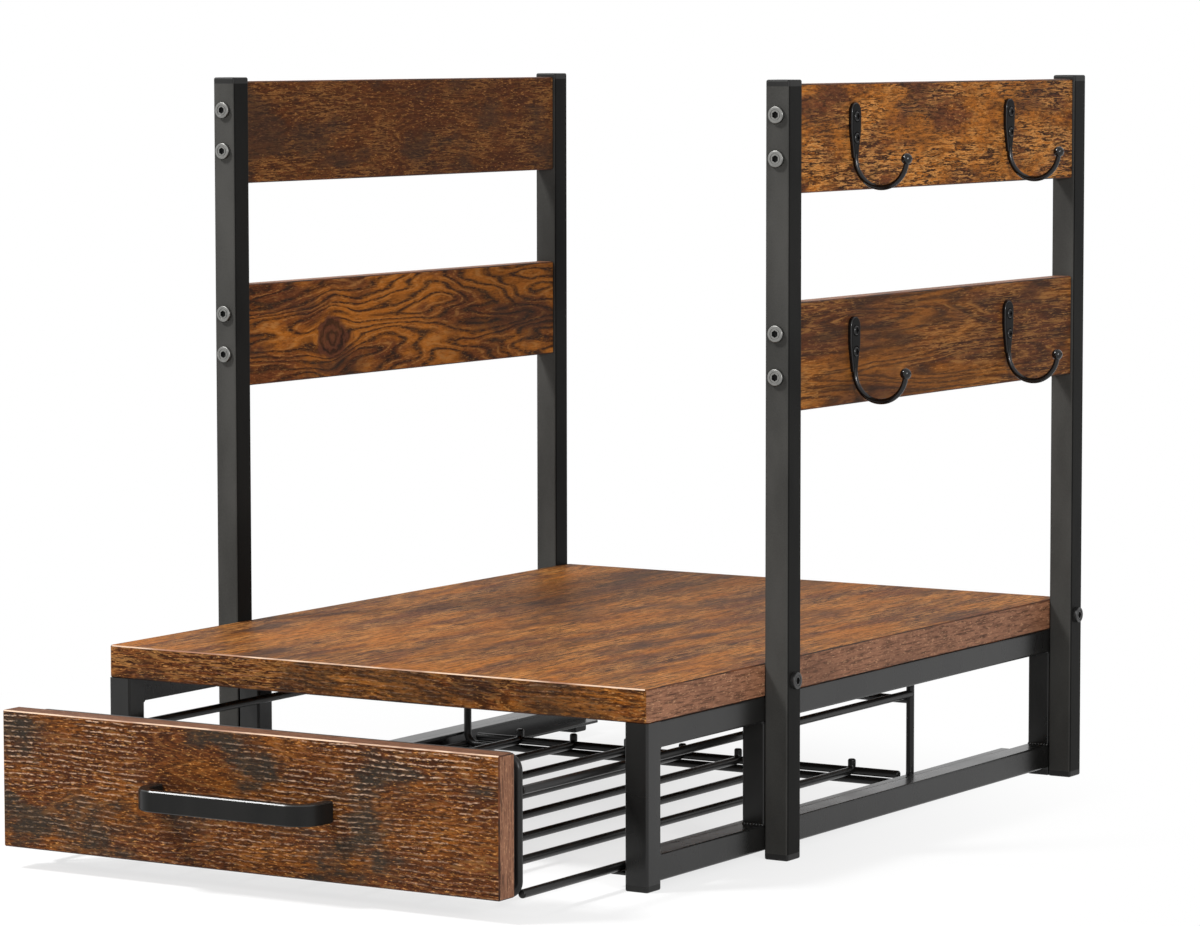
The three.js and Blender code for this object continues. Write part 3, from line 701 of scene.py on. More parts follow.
def smooth(piece, degrees=SOFT_ANGLE):
    """Smooth shading that keeps flat faces flat: their normals outweigh those of the bevels."""
    alone(piece)
    bpy.ops.object.shade_smooth_by_angle(angle=math.radians(degrees))
    piece.modifiers.new("flat faces", "WEIGHTED_NORMAL").keep_sharp = True
    bpy.ops.object.modifier_apply(modifier="flat faces")
    return piece


def joined(name, pieces):
    """Several objects as one."""
    alone(pieces[0])
    for piece in pieces:
        piece.select_set(True)
    bpy.ops.object.join()
    pieces[0].name = name
    pieces[0].data.name = name
    return pieces[0]


def paint(piece, materials, choose):
    """Gives a piece its materials; choose says by its number which of them a face takes."""
    for material in materials:
        piece.data.materials.append(material)
    for face in piece.data.polygons:
        face.material_index = int(choose(face))


def dress(piece, body, slot, *nodes, material=None):
    """Gives a finished piece its material where one is given, puts it in its body, and hides the CAD
    nodes that it stands for.
    """
    if material:
        piece.data.materials.clear()
        piece.data.materials.append(material)
    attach(piece, body)
    if nodes:
        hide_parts(*nodes)
    return piece


print("a rounded edge has", ROUND, "steps")

# %% [markdown]
# ## Panels: board, drawer front and slats
# A laminate panel is a block with trimmed edges. The CAD block could be kept, but its knife-sharp edges
# would catch no light. So the upright corners of the board are rounded, and all other edges are bevelled
# by about half a millimetre. After that each face takes the material for its direction: print on the
# broad faces, band on the narrow ones, and the seam on the bevels. On the board and the drawer front the
# top edge and the left edge of the front show a pale line, a painted highlight where the light catches
# them.

# %% Panels
TRIM = 0.55 * MM
TRIM_ANGLE = 40
BOARD_CORNER = 2.0 * MM
CORNER_STEPS = 5
UPRIGHT = 0.01
# The trimmed edges that face these ways, towards the key light, carry the painted highlight.
HIGHLIGHT_WAYS = ((Z - Y).normalized(), (-X - Y).normalized())


def panel(name, node_name, faces, corner=None, lit_ways=()):
    """A trimmed panel in the place of a CAD node; faces gives the material for each axis.

    The edges that face one of the lit ways show a pale line, a painted highlight.
    """
    piece = block(name, *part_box(node_name))
    edit(piece)
    if corner:
        pick_edges(piece, running(Z))
        bevel(corner, CORNER_STEPS)
    bevel_sharp(TRIM, 1, TRIM_ANGLE)
    done(piece)
    materials = (*faces, seam, lit_edge_painted_highlight)

    def finish_of(face):
        reach = [abs(value) for value in face.normal]
        broad = max(reach)
        if any(face.normal.dot(way) > FLAT for way in lit_ways):
            return materials.index(lit_edge_painted_highlight)
        if broad > FLAT or corner and reach[2] < UPRIGHT:
            return reach.index(broad)
        return materials.index(seam)

    paint(piece, materials, finish_of)
    return smooth(piece)


board = panel("board", "top_board", (band_along_y, board_front, board_top), corner=BOARD_CORNER,
              lit_ways=HIGHLIGHT_WAYS)
dress(board, "stand", "wood_laminate", "top_board")
front = panel("drawer_front_panel", "drawer_front", (band_upright, drawer_face, band_along_x),
              lit_ways=HIGHLIGHT_WAYS)
dress(front, "drawer", "wood_laminate", "drawer_front")
for (side, level), face in slat_faces.items():
    slat = panel(f"{side}_{level}_slat_panel", f"{side}_{level}_slat", (face, band_upright, band_slat))
    dress(slat, "stand", "wood_laminate", f"{side}_{level}_slat")
print("panels: board, drawer front and", len(slat_faces), "slats")

# %% [markdown]
# ## Square tube
# The posts and frames are cut from cold-drawn square tube, whose long edges are rounded. A tube could be
# a profile swept along a line, but a block with its long edges bevelled has cleaner ends. Where an end
# takes a plug, the end face is inset by the wall and pushed in, which makes it hollow. The fronts of
# the posts keep the plain coat, and their sides take a darker copy of it, painted shade.

# %% Tubes and posts
TUBE_EDGE = 1.2 * MM
TUBE_WALL = 1.0 * MM
SOCKET_DEPTH = 9.0 * MM


def tube(name, low, high, axis, open_ends=()):
    """A block with rounded long edges, made hollow at its open ends."""
    piece = block(name, low, high)
    edit(piece)
    pick_edges(piece, running(axis))
    bevel(TUBE_EDGE)
    for direction in open_ends:
        pick_faces(piece, facing(direction))
        bpy.ops.mesh.inset(thickness=TUBE_WALL)
        extend(-direction * SOCKET_DEPTH)
    return done(piece)


post_nodes = [f"{side}_{end}_post" for side in SIDES for end in ENDS]
for name in post_nodes:
    post = tube(f"{name}_tube", *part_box(name), Z, open_ends=(Z, -Z))
    # The fronts keep the plain coat, and the sides take a darker copy of it as painted shade.
    paint(post, (black["post_front"], black["post_side_painted_shade"]),
          lambda face: abs(face.normal.x) > abs(face.normal.y))
    dress(smooth(post), "stand", "black_steel", name)
print("posts:", len(post_nodes))

# %% [markdown]
# ## Plugs
# Each leg and post stands on a moulded plug, and each post is closed with one. A plain cap on the tube
# would look the same from afar, but would leave no joint. So a plug has a square flange with soft
# corners and a narrower spigot in the tube, and the joint under the flange shows as a fine line.

# %% Plugs
FLANGE = 3.0 * MM
FLANGE_DOME = 0.9 * MM
SPIGOT_CLEAR = 1.2 * MM
SPIGOT = SOCKET_DEPTH * 2 / 3


def plug(name, node_name, outward):
    """A flange at the outward end of the node's box, and a spigot behind it."""
    low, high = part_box(node_name)
    if outward.z > 0:
        low.z = high.z - FLANGE
    else:
        high.z = low.z + FLANGE
    piece = block(name, low, high)
    edit(piece)
    pick_edges(piece, running(Z))
    bevel(TUBE_EDGE)
    pick_faces(piece, facing(outward))
    bpy.ops.mesh.region_to_loop()
    bevel(FLANGE_DOME)
    pick_faces(piece, facing(-outward))
    bpy.ops.mesh.inset(thickness=SPIGOT_CLEAR)
    extend(-outward * SPIGOT)
    return smooth(done(piece))


plug_nodes = [(f"{side}_{end}_{kind}", Z if kind == "post_cap" else -Z)
              for side in SIDES for end in ENDS for kind in ("leg_foot", "post_foot", "post_cap")]
for name, outward in plug_nodes:
    piece = plug(f"{name}_plug", name, outward)
    dress(piece, "stand", "black_plastic", name, material=black["plug_black"])
print("plugs:", len(plug_nodes))

# %% [markdown]
# ## Welded side frames
# A side frame is two legs, two rails and an upright, welded at their ends and ground flush outside. The
# tubes could be merged with a boolean, but that leaves ragged edges where the rounded corners meet. So
# the rails run a little into the legs, which hides the joint as a weld does. Two flat ledges carry and
# guide the drawer. The inner corners keep their weld beads, drawn as rows of flattened drops.

# %% Weld beads and ledges
WELD_PITCH = 1.5 * MM
WELD_SIZE = Vector((1.05, 1.0, 0.8)) * MM
DROP_SIDES = 12
DROP_RINGS = 8
FEWEST_DROPS = 2
LEDGE = 1.5 * MM
LEDGE_EDGE = 0.4 * MM
LEDGE_STEPS = 2


def weld(name, start, end):
    """A row of flattened drops along a seam."""
    run = end - start
    drops = max(FEWEST_DROPS, round(run.length / WELD_PITCH))
    bead = added(name, bpy.ops.mesh.primitive_uv_sphere_add, segments=DROP_SIDES,
                 ring_count=DROP_RINGS, radius=1, location=start, scale=WELD_SIZE)
    row = bead.modifiers.new("row", "ARRAY")
    row.count = drops + 1
    row.use_relative_offset = False
    row.use_constant_offset = True
    row.constant_offset_displace = run / drops
    bpy.ops.object.modifier_apply(modifier="row")
    return bead


def ledge(name, inner, outer, front_y, rear_y, top):
    """A flat strip with softened edges, from its top face down."""
    low = Vector((min(inner, outer), front_y, top - LEDGE))
    high = Vector((max(inner, outer), rear_y, top))
    piece = block(name, low, high)
    edit(piece)
    select_all()
    bevel(LEDGE_EDGE, LEDGE_STEPS)
    return done(piece)


print("weld drops every", round(WELD_PITCH / MM, 2), "mm")

# %% Side frames
FRAME_TUBE = 12.0 * MM
RAIL_LIFT = 4.0 * MM
RUNNER_TOP = 7.4 * MM
RUNNER_REACH = 11.0 * MM
GUIDE_REACH = 4.2 * MM
GUIDE_FRONT_GAP = 13.0 * MM
GUIDE_REAR_GAP = 34.0 * MM

board_low, board_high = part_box("top_board")
front_y = board_low.y
rear_y = board_high.y
rail_top = board_low.z
front_leg_back = front_y + FRAME_TUBE
rear_leg_face = rear_y - FRAME_TUBE
low_rail_top = RAIL_LIFT + FRAME_TUBE
high_rail_under = rail_top - FRAME_TUBE
upright_y = sum(corner.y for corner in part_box("right_front_post")) / 2
upright_face = upright_y - FRAME_TUBE / 2
upright_back = upright_y + FRAME_TUBE / 2

for side, sign in SIDES.items():
    outer = sign * board_high.x
    inner = sign * (board_high.x - FRAME_TUBE)
    left, right = sorted((inner, outer))
    parts = []
    for near_y, far_y in ((front_y, front_leg_back), (rear_leg_face, rear_y)):
        low = Vector((left, near_y, FLANGE))
        parts.append(tube("leg", low, Vector((right, far_y, rail_top)), Z, open_ends=(-Z,)))
    for under, top in ((RAIL_LIFT, low_rail_top), (high_rail_under, rail_top)):
        low = Vector((left, front_leg_back - TUBE_EDGE, under))
        parts.append(tube("rail", low, Vector((right, rear_leg_face + TUBE_EDGE, top)), Y))
    low = Vector((left, upright_face, low_rail_top - TUBE_EDGE))
    parts.append(tube("upright", low, Vector((right, upright_back, high_rail_under + TUBE_EDGE)), Z))
    welded = inner + sign * TUBE_WALL
    parts.append(ledge("runner", inner - sign * RUNNER_REACH, welded, front_y + FRAME_TUBE / 2,
                       rear_y - FRAME_TUBE / 2, RUNNER_TOP))
    parts.append(ledge("guide", inner - sign * GUIDE_REACH, welded, front_y + GUIDE_FRONT_GAP,
                       rear_y - GUIDE_REAR_GAP, low_rail_top))
    seams = [(y, z) for y in (front_leg_back, upright_face, upright_back, rear_leg_face)
             for z in (low_rail_top, high_rail_under)]
    for y, z in seams:
        parts.append(weld("seam", Vector((left + TUBE_EDGE, y, z)), Vector((right - TUBE_EDGE, y, z))))
    steel = smooth(joined(f"{side}_frame_tubes", parts))
    dress(steel, "stand", "black_steel", f"{side}_side_frame", material=black["frame_black"])
print("side frames:", len(SIDES), "with", len(seams), "weld beads each")

# %% [markdown]
# ## Bolts and screws
# The socket bolts are turned: a flat head with a rounded rim, a shallow ring, and a hexagon socket. One
# bolt is modelled at the origin, along Z, by insets and small pushes on a cylinder, as a lathe would
# cut it. The socket could be modelled by hand too, but cutting it with a six-sided prism leaves sharp
# corners. A screw is made the same way, with a domed head and a cross recess.

# %% Turning and cutting
RING_SIDES = 48
TOP_SHARE = 0.9


def discard(model):
    bpy.data.objects.remove(model)


def prism(name, sides, radius, bottom, top):
    return added(name, bpy.ops.mesh.primitive_cylinder_add, vertices=sides, radius=radius,
                 depth=top - bottom, location=(0, 0, (top + bottom) / 2))


def cut_with(piece, cutter):
    """Takes the cutter out of the piece and removes it."""
    alone(piece)
    bite = piece.modifiers.new("bite", "BOOLEAN")
    bite.operation = "DIFFERENCE"
    bite.solver = "EXACT"
    bite.object = cutter
    bpy.ops.object.modifier_apply(modifier="bite")
    discard(cutter)


def mark_radius(piece):
    """Keeps each corner's distance from the Z axis on the mesh."""
    store = piece.data.attributes.new("from_axis", "FLOAT", "POINT")
    for corner, value in zip(piece.data.vertices, store.data):
        value.value = corner.co.xy.length


def turned_head(name, across, height, shank, length, dome):
    """A round head that stands on z = 0, with its shank below; its top face is left selected."""
    piece = prism(name, RING_SIDES, across / 2, 0, height)
    edit(piece)
    pick_faces(piece, facing(-Z))
    bpy.ops.mesh.inset(thickness=(across - shank) / 2)
    extend(-Z * length)
    pick_faces(piece, lambda middle, normal: normal.z > FLAT and middle.z > height / 2)
    bpy.ops.mesh.region_to_loop()
    bevel(dome)
    pick_faces(piece, lambda middle, normal: normal.z > FLAT and middle.z > height * TOP_SHARE)
    return piece


print("a turned head has", RING_SIDES, "sides")

# %% One bolt
BOLT_HEAD = 7.8 * MM
BOLT_HEAD_HEIGHT = 2.0 * MM
BOLT_SHANK = 5.0 * MM
BOLT_RIM = 0.35 * MM
BOLT_FACE = 0.9 * MM
RING_DEPTH = 0.3 * MM
RING_WIDTH = 0.35 * MM
RING_RISE = 0.25 * MM
SOCKET_LIP = 0.2 * MM
BOLT_SOCKET = 3.0 * MM
SOCKET_DEEP = 1.3 * MM
CUTTER_TOP = 5.0 * MM
HEAD_ANGLE = 30


def socket_bolt(name, length, finish):
    """A bolt on z = 0 with its socket and its turned ring; length is that of the whole bolt."""
    shank_length = length - BOLT_HEAD_HEIGHT
    bolt = turned_head(name, BOLT_HEAD, BOLT_HEAD_HEIGHT, BOLT_SHANK, shank_length, BOLT_RIM)
    bpy.ops.mesh.inset(thickness=BOLT_FACE)
    extend(-Z * RING_DEPTH)
    bpy.ops.mesh.inset(thickness=RING_WIDTH)
    extend(Z * RING_RISE)
    bpy.ops.mesh.inset(thickness=SOCKET_LIP)
    done(bolt)
    corner = BOLT_SOCKET / math.sqrt(3)
    cut_with(bolt, prism("hexagon", 6, corner, BOLT_HEAD_HEIGHT - SOCKET_DEEP, CUTTER_TOP))
    mark_radius(bolt)
    ring_floor = BOLT_HEAD_HEIGHT - RING_DEPTH
    # The faces inside the socket take a near-black coat: painted shade in the recess.
    paint(bolt, (finish, black["socket_painted_shade"]),
          lambda face: face.center.xy.length < corner and 0 < face.center.z < ring_floor)
    return smooth(bolt, HEAD_ANGLE)


def length_of(node_name, axis):
    low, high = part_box(node_name)
    return (high - low).dot(axis)


slat_bolt = socket_bolt("slat_bolt", length_of("left_front_bolt_upper_top", Y), zinc)
# The bolts in the board's edges are zinc too; their dark coat is painted shade.
board_bolt = socket_bolt("board_bolt", length_of("left_front_board_bolt", X), black["board_bolt_painted_shade"])
print("bolt faces:", len(slat_bolt.data.polygons))


# %% Bolts in their places
def twin(model, name, place):
    """A copy with a mesh of its own, moved by a matrix."""
    piece = model.copy()
    piece.data = model.data.copy()
    piece.name = name
    piece.data.transform(place)
    bpy.context.collection.objects.link(piece)
    return piece


def aimed(head_middle, outward):
    """The matrix that takes a bolt from the origin to its seat, with its head outward."""
    return Matrix.Translation(head_middle) @ Z.rotation_difference(outward).to_matrix().to_4x4()


def seat_of(node_name, outward, height):
    """The point under a bolt's head, on the face that it is screwed against."""
    low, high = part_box(node_name)
    middle = (low + high) / 2
    axis = max(range(3), key=lambda i: abs(outward[i]))
    middle[axis] = (high if outward[axis] > 0 else low)[axis]
    return middle - outward * height


bolt_nodes = []
for side, sign in SIDES.items():
    for end, outward in ENDS.items():
        bolt_nodes += [(slat_bolt, f"{side}_{end}_bolt_{level}_{row}", outward)
                       for level in LEVELS for row in ("top", "bottom")]
        bolt_nodes.append((board_bolt, f"{side}_{end}_board_bolt", sign * X))
for model, name, outward in bolt_nodes:
    piece = twin(model, f"{name}_zinc", aimed(seat_of(name, outward, BOLT_HEAD_HEIGHT), outward))
    dress(piece, "stand", "zinc_steel", name)
discard(slat_bolt)
discard(board_bolt)
print("bolts:", len(bolt_nodes))

# %% One pan screw
SCREW_SHANK = 3.0 * MM
SCREW_DOME = 0.85
CROSS_WIDE = 0.16
CROSS_LONG = 0.52


def pan_screw(name, across, height, length):
    """A screw on z = 0 with a domed head and a cross recess; length is the shank's."""
    piece = done(turned_head(name, across, height, SCREW_SHANK, length, height * SCREW_DOME))
    top = Z * height
    for x, y in ((CROSS_LONG, CROSS_WIDE), (CROSS_WIDE, CROSS_LONG)):
        half = Vector((across * x, across * y, height)) / 2
        cut_with(piece, block("slot", top - half, top + half))
    mark_radius(piece)
    return smooth(piece, HEAD_ANGLE)


print("a pan screw's cross is", CROSS_LONG, "of its head")

# %% [markdown]
# ## Bent bars
# The handle, the hooks and the wires of the drawer are all straight bar that was bent. A curve with a
# thickness would give the same path, but its bends are harder to keep at their real size. So a ring of
# edges is extruded along the straight stretches and spun round the bends, which is how a bender works.
# The ends are filled last, or merged where the bar closes on itself.

# %% Bending
BEND_STEPS = 10
WIRE_SIDES = 16
MERGE = 0.002 * MM
END_STEPS = 3
END_SHARE = 0.4


def opened(piece):
    """Selects a section as a ring of edges, ready to be extruded."""
    bpy.ops.mesh.select_mode(type="EDGE")
    select_all()
    return piece


def ring(name, place, way, radius, sides=WIRE_SIDES):
    """A round section, as a ring of edges that faces along the bar."""
    piece = added(name, bpy.ops.mesh.primitive_circle_add, vertices=sides, radius=radius,
                  fill_type="NOTHING", location=place, rotation=Z.rotation_difference(way).to_euler())
    edit(piece)
    return opened(piece)


def flat_ring(name, place, width, height):
    """A rectangular section across Y, as a ring of edges."""
    piece = added(name, bpy.ops.mesh.primitive_plane_add, size=1, location=place,
                  rotation=(math.pi / 2, 0, 0), scale=(width, height, 1))
    edit(piece)
    bpy.ops.mesh.delete(type="ONLY_FACE")
    return opened(piece)


def bend(centre, axis, degrees, steps=BEND_STEPS):
    """Turns the section round an axis, anticlockwise; the spin tool itself counts clockwise."""
    bpy.ops.mesh.spin(steps=steps, angle=-math.radians(degrees), center=centre, axis=axis)


def turn_outwards():
    select_all()
    bpy.ops.mesh.normals_make_consistent(inside=False)


def cap_ends():
    """Closes an open bar and turns its faces outwards."""
    select_all()
    bpy.ops.mesh.remove_doubles(threshold=MERGE)
    select_all()
    bpy.ops.mesh.fill_holes(sides=0)
    turn_outwards()


def run_of_wire(name, start, end, radius):
    """A straight wire with softened ends."""
    piece = ring(name, start, (end - start).normalized(), radius)
    extend(end - start)
    cap_ends()
    bevel_sharp(radius * END_SHARE, END_STEPS)
    return done(piece)


print("a bend has", BEND_STEPS, "steps and a wire", WIRE_SIDES, "sides")

# %% [markdown]
# ## Handle
# The handle is a flat bar bent into a D, so its section is a rectangle. It could be cut from a block,
# but a bar that is bent keeps one thickness all the way. It starts on one foot, runs out from the
# drawer front, turns along it and comes back. The long edges are then trimmed, and the trim on top
# takes the brighter finish.

# %% Handle
HANDLE_BAR = 5.0 * MM
HANDLE_BEND = 12.5 * MM
HANDLE_EDGE = 0.5 * MM
RIM_LOWEST = 0.6
RIM_HIGHEST = 0.8

low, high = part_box("drawer_handle")
foot = Vector((low.x + HANDLE_BAR / 2, high.y, (low.z + high.z) / 2))
out = high.y - low.y - HANDLE_BEND
along = high.x - low.x - 2 * HANDLE_BEND
handle = flat_ring("handle_bar", foot, HANDLE_BAR, high.z - low.z)
extend(-Y * out)
centre = Vector((low.x + HANDLE_BEND, low.y + HANDLE_BEND, foot.z))
bend(centre, Z, 90)
extend(X * along)
bend(centre + X * along, Z, 90)
extend(Y * out)
cap_ends()
bevel_sharp(HANDLE_EDGE, 1)
done(handle)
paint(handle, (black["handle_black"], black["handle_rim"]),
      lambda face: RIM_LOWEST < face.normal.z < RIM_HIGHEST)
dress(smooth(handle), "drawer", "black_steel", "drawer_handle")
lowest = min(corner.co.y for corner in handle.data.vertices)
print("handle reaches", round((high.y - lowest) / MM, 2), "mm, CAD", round((high.y - low.y) / MM, 2))

# %% [markdown]
# ## Hooks
# A hook is forged from rod: the upper end is beaten flat into a strap with two screw holes, and the
# lower end is bent into a J with a ball on its tip. One hook is modelled against x = 0, with its top at
# the origin, and copied. The strap could be a long block with rounded corners, but a filled circle whose
# lower half is drawn down and narrowed to the rod has the round top and the taper at once.

# %% Strap of a hook
HOOK_STRAP = 9.0 * MM
HOOK_STRAP_THICK = 2.0 * MM
HOOK_STRAP_LONG = 26.0 * MM
HOOK_STRAP_EDGE = 0.8 * MM
HOOK_STRAP_STEPS = 3
HOOK_STRAP_SIDES = 40
HOOK_NECK = 3.4 * MM
STRAIGHT_SHARE = 0.4
SCREW_DROPS = (6.5 * MM, 16.5 * MM)
SEAT = 5.7 * MM
SEAT_DEPTH = 0.5 * MM
SEAT_SIDES = 32
NEARLY_NOTHING = 1e-6

strap = added("hook_strap", bpy.ops.mesh.primitive_circle_add, vertices=HOOK_STRAP_SIDES,
              radius=HOOK_STRAP / 2, fill_type="NGON", location=(0, 0, -HOOK_STRAP / 2),
              rotation=(math.pi / 2, 0, math.pi / 2))
for corner in strap.data.vertices:
    below = -HOOK_STRAP / 2 - corner.co.z
    if below > NEARLY_NOTHING:
        share = below / (HOOK_STRAP / 2)
        taper = max(0.0, share - STRAIGHT_SHARE) / (1 - STRAIGHT_SHARE)
        corner.co.z -= (HOOK_STRAP_LONG - HOOK_STRAP) * share
        corner.co.y = math.copysign(HOOK_STRAP + (HOOK_NECK - HOOK_STRAP) * taper, corner.co.y) / 2
edit(strap)
select_all()
extend(X * HOOK_STRAP_THICK)
turn_outwards()
pick_faces(strap, facing(X))
bpy.ops.mesh.region_to_loop()
bevel(HOOK_STRAP_EDGE, HOOK_STRAP_STEPS)
done(strap)
seats = [aimed(Vector((HOOK_STRAP_THICK - SEAT_DEPTH, 0, -drop)), X) for drop in SCREW_DROPS]
seat_cutter = prism("seat", SEAT_SIDES, SEAT / 2, 0, HOOK_STRAP_THICK)
for seat in seats:
    cut_with(strap, twin(seat_cutter, "seat_cut", seat))
discard(seat_cutter)
print("strap faces:", len(strap.data.polygons))

# %% Rod, ball and screws of a hook
HOOK_ROD = 2.6 * MM
HOOK_ROD_SIDES = 20
HOOK_REACH = 28.2 * MM
HOOK_DEPTH = 39.5 * MM
HOOK_TIP = 26.0 * MM
HOOK_BALL = 5.3 * MM
BALL_SIDES = 28
BALL_RINGS = 18
BOW_STEPS = 28
HOOK_SCREW_HEAD = 4.8 * MM
HOOK_SCREW_HEIGHT = 1.2 * MM
HOOK_SCREW_LONG = 9.5 * MM
FLAT_FACE = 0.95
HOOK_ANGLE = 40

bow = (HOOK_REACH - HOOK_ROD / 2) / 2
bow_middle = Vector((HOOK_ROD / 2 + bow, 0, -HOOK_DEPTH + bow))
neck = Vector((HOOK_ROD / 2, 0, -HOOK_STRAP_LONG + HOOK_STRAP_THICK))
rod = ring("hook_rod", neck, -Z, HOOK_ROD / 2, HOOK_ROD_SIDES)
extend(Z * (bow_middle.z - neck.z))
bend(bow_middle, Y, -180, BOW_STEPS)
extend(Z * (-HOOK_TIP - bow_middle.z))
cap_ends()
done(rod)
ball = added("hook_ball", bpy.ops.mesh.primitive_uv_sphere_add, segments=BALL_SIDES,
             ring_count=BALL_RINGS, radius=HOOK_BALL / 2, location=(HOOK_REACH, 0, -HOOK_TIP))
screw = pan_screw("hook_screw", HOOK_SCREW_HEAD, HOOK_SCREW_HEIGHT, HOOK_SCREW_LONG)
screws = [twin(screw, "hook_screw_copy", seat) for seat in seats]
discard(screw)
hook = joined("hook", [strap, rod, ball, *screws])
paint(hook, (black["hook_gloss"], black["hook_flat"]),
      lambda face: face.center.z > -HOOK_STRAP_LONG and abs(face.normal.x) > FLAT_FACE)
smooth(hook, HOOK_ANGLE)
print("hook faces:", len(hook.data.polygons))

# %% Hooks in their places
hook_nodes = [(side, level, end) for side in SIDES for level in LEVELS for end in ENDS]
for side, level, end in hook_nodes:
    on_right = SIDES[side] > 0
    name = f"{side}_{level}_{end}_hook"
    low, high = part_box(name)
    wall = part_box(f"{side}_{level}_slat")[1 if on_right else 0].x
    top = Matrix.Translation(Vector((wall, (low.y + high.y) / 2, high.z)))
    half_turn = Matrix.Rotation(0 if on_right else math.pi, 4, "Z")
    dress(twin(hook, f"{name}_forged", top @ half_turn), "stand", "hook_black", name)
discard(hook)
print("hooks:", len(hook_nodes))

# %% [markdown]
# ## Wire drawer
# The basket is welded from round wire. Two closed hoops stand behind the drawer front and at the rear.
# Side wires join them, and a grid of thin wires makes the floor. The rear ends of the floor wires are
# turned up. Two flat brackets join the front hoop to the drawer front. The wires could be cut from the
# CAD solids, but bent again from rings they are rounder and have softened ends.

# %% Places of the wires
WIRE = 4.0 * MM
SIDE_WIRE_DROP = 16.3 * MM
REAR_WIRE_DROP = 3.0 * MM
half_wire = WIRE / 2

cage_low, cage_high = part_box("basket_cage")
hoop_low, hoop_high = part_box("basket_front_hoop")
floor_low, floor_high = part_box("basket_floor_grid")
side_x = cage_high.x - half_wire
skid_z = cage_low.z + half_wire
hoop_top = cage_high.z - half_wire
front_hoop_y = hoop_high.y - half_wire
rear_hoop_y = cage_high.y - half_wire
side_wire_z = drawer_top - SIDE_WIRE_DROP - half_wire
rear_wire_z = side_wire_z - REAR_WIRE_DROP
floor_z = floor_low.z + half_wire
print("basket:", round((rear_hoop_y - front_hoop_y) / MM, 1), "mm from hoop to hoop")

# %% Hoops and brackets
WIRE_BEND = 6.0 * MM
HOOP_MERGE = 0.01 * MM
BRACKET = 1.5 * MM
BRACKET_WIDE = 16.0 * MM
BRACKET_BEND = 2.0 * MM
BRACKET_STEPS = 5
BRACKET_EDGE = 0.3 * MM
BRACKET_EDGE_STEPS = 2


def hoop(name, y):
    """A closed hoop in an XZ plane, started at the middle of its bottom."""
    x = side_x - WIRE_BEND
    low_z = skid_z + WIRE_BEND
    high_z = hoop_top - WIRE_BEND
    tall = Z * (high_z - low_z)
    piece = ring(name, Vector((0, y, skid_z)), X, half_wire)
    for run, bend_x, bend_z in ((X * x, x, low_z), (tall, x, high_z), (-X * 2 * x, -x, high_z),
                                (-tall, -x, low_z)):
        extend(run)
        bend(Vector((bend_x, y, bend_z)), Y, -90)
    extend(X * x)
    select_all()
    bpy.ops.mesh.remove_doubles(threshold=HOOP_MERGE)
    turn_outwards()
    return done(piece)


def bracket(name, x):
    """A strip bent into a C, from the hoop's upper wire to its lower wire, flat on the drawer front."""
    face = hoop_low.y + BRACKET / 2
    reach = front_hoop_y - face - BRACKET_BEND
    piece = flat_ring(name, Vector((x, front_hoop_y, hoop_top)), BRACKET_WIDE, BRACKET)
    extend(-Y * reach)
    bend(Vector((x, face + BRACKET_BEND, hoop_top - BRACKET_BEND)), X, 90, BRACKET_STEPS)
    extend(-Z * (hoop_top - skid_z - 2 * BRACKET_BEND))
    bend(Vector((x, face + BRACKET_BEND, skid_z + BRACKET_BEND)), X, 90, BRACKET_STEPS)
    extend(Y * reach)
    cap_ends()
    bevel_sharp(BRACKET_EDGE, BRACKET_EDGE_STEPS)
    return done(piece)


bracket_x = sum(corner.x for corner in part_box("bracket_screw_right")) / 2
parts = [hoop("hoop", front_hoop_y)]
parts += [bracket("bracket", x) for x in (-bracket_x, bracket_x)]
front_hoop = joined("front_hoop_wire", parts)
dress(smooth(front_hoop), "drawer", "black_wire", "basket_front_hoop", material=black["wire_black"])
print("front hoop faces:", len(front_hoop.data.polygons))

# %% Cage
wires = [hoop("hoop", rear_hoop_y)]
for x in (-side_x, side_x):
    for z in (skid_z, side_wire_z):
        start = Vector((x, cage_low.y, z))
        wires.append(run_of_wire("side_wire", start, Vector((x, rear_hoop_y, z)), half_wire))
start = Vector((-side_x, rear_hoop_y, rear_wire_z))
wires.append(run_of_wire("rear_wire", start, Vector((side_x, rear_hoop_y, rear_wire_z)), half_wire))
cage = smooth(joined("cage_wire", wires))
dress(cage, "drawer", "black_wire", "basket_cage", material=black["wire_black"])
print("cage: a hoop and", len(wires) - 1, "wires")

# %% Floor grid
FLOOR_WIRES = 7
UPTURN_BEND = 3.0 * MM
UPTURN_STEPS = 6
UPTURN_END = 0.5


def floor_wire(name, x):
    """A lengthwise wire with its rear end turned up."""
    bend_y = rear_hoop_y - UPTURN_BEND
    piece = ring(name, Vector((x, floor_low.y, floor_z)), Y, half_wire)
    extend(Y * (bend_y - floor_low.y))
    bend(Vector((x, bend_y, floor_z + UPTURN_BEND)), X, 90, UPTURN_STEPS)
    extend(Z * (floor_high.z - floor_z - UPTURN_BEND))
    cap_ends()
    bevel_sharp(half_wire * UPTURN_END, END_STEPS)
    return done(piece)


pitch = 2 * side_x / (FLOOR_WIRES + 1)
wires = [floor_wire("floor_wire", -side_x + (i + 1) * pitch) for i in range(FLOOR_WIRES)]
for y in (front_hoop_y, rear_hoop_y):
    start = Vector((floor_low.x, y, floor_z))
    wires.append(run_of_wire("cross_wire", start, Vector((floor_high.x, y, floor_z)), half_wire))
grid = smooth(joined("floor_wires", wires))
dress(grid, "drawer", "black_wire", "basket_floor_grid", material=black["wire_black"])
print("floor grid:", len(wires), "wires,", round(pitch / MM, 1), "mm apart")

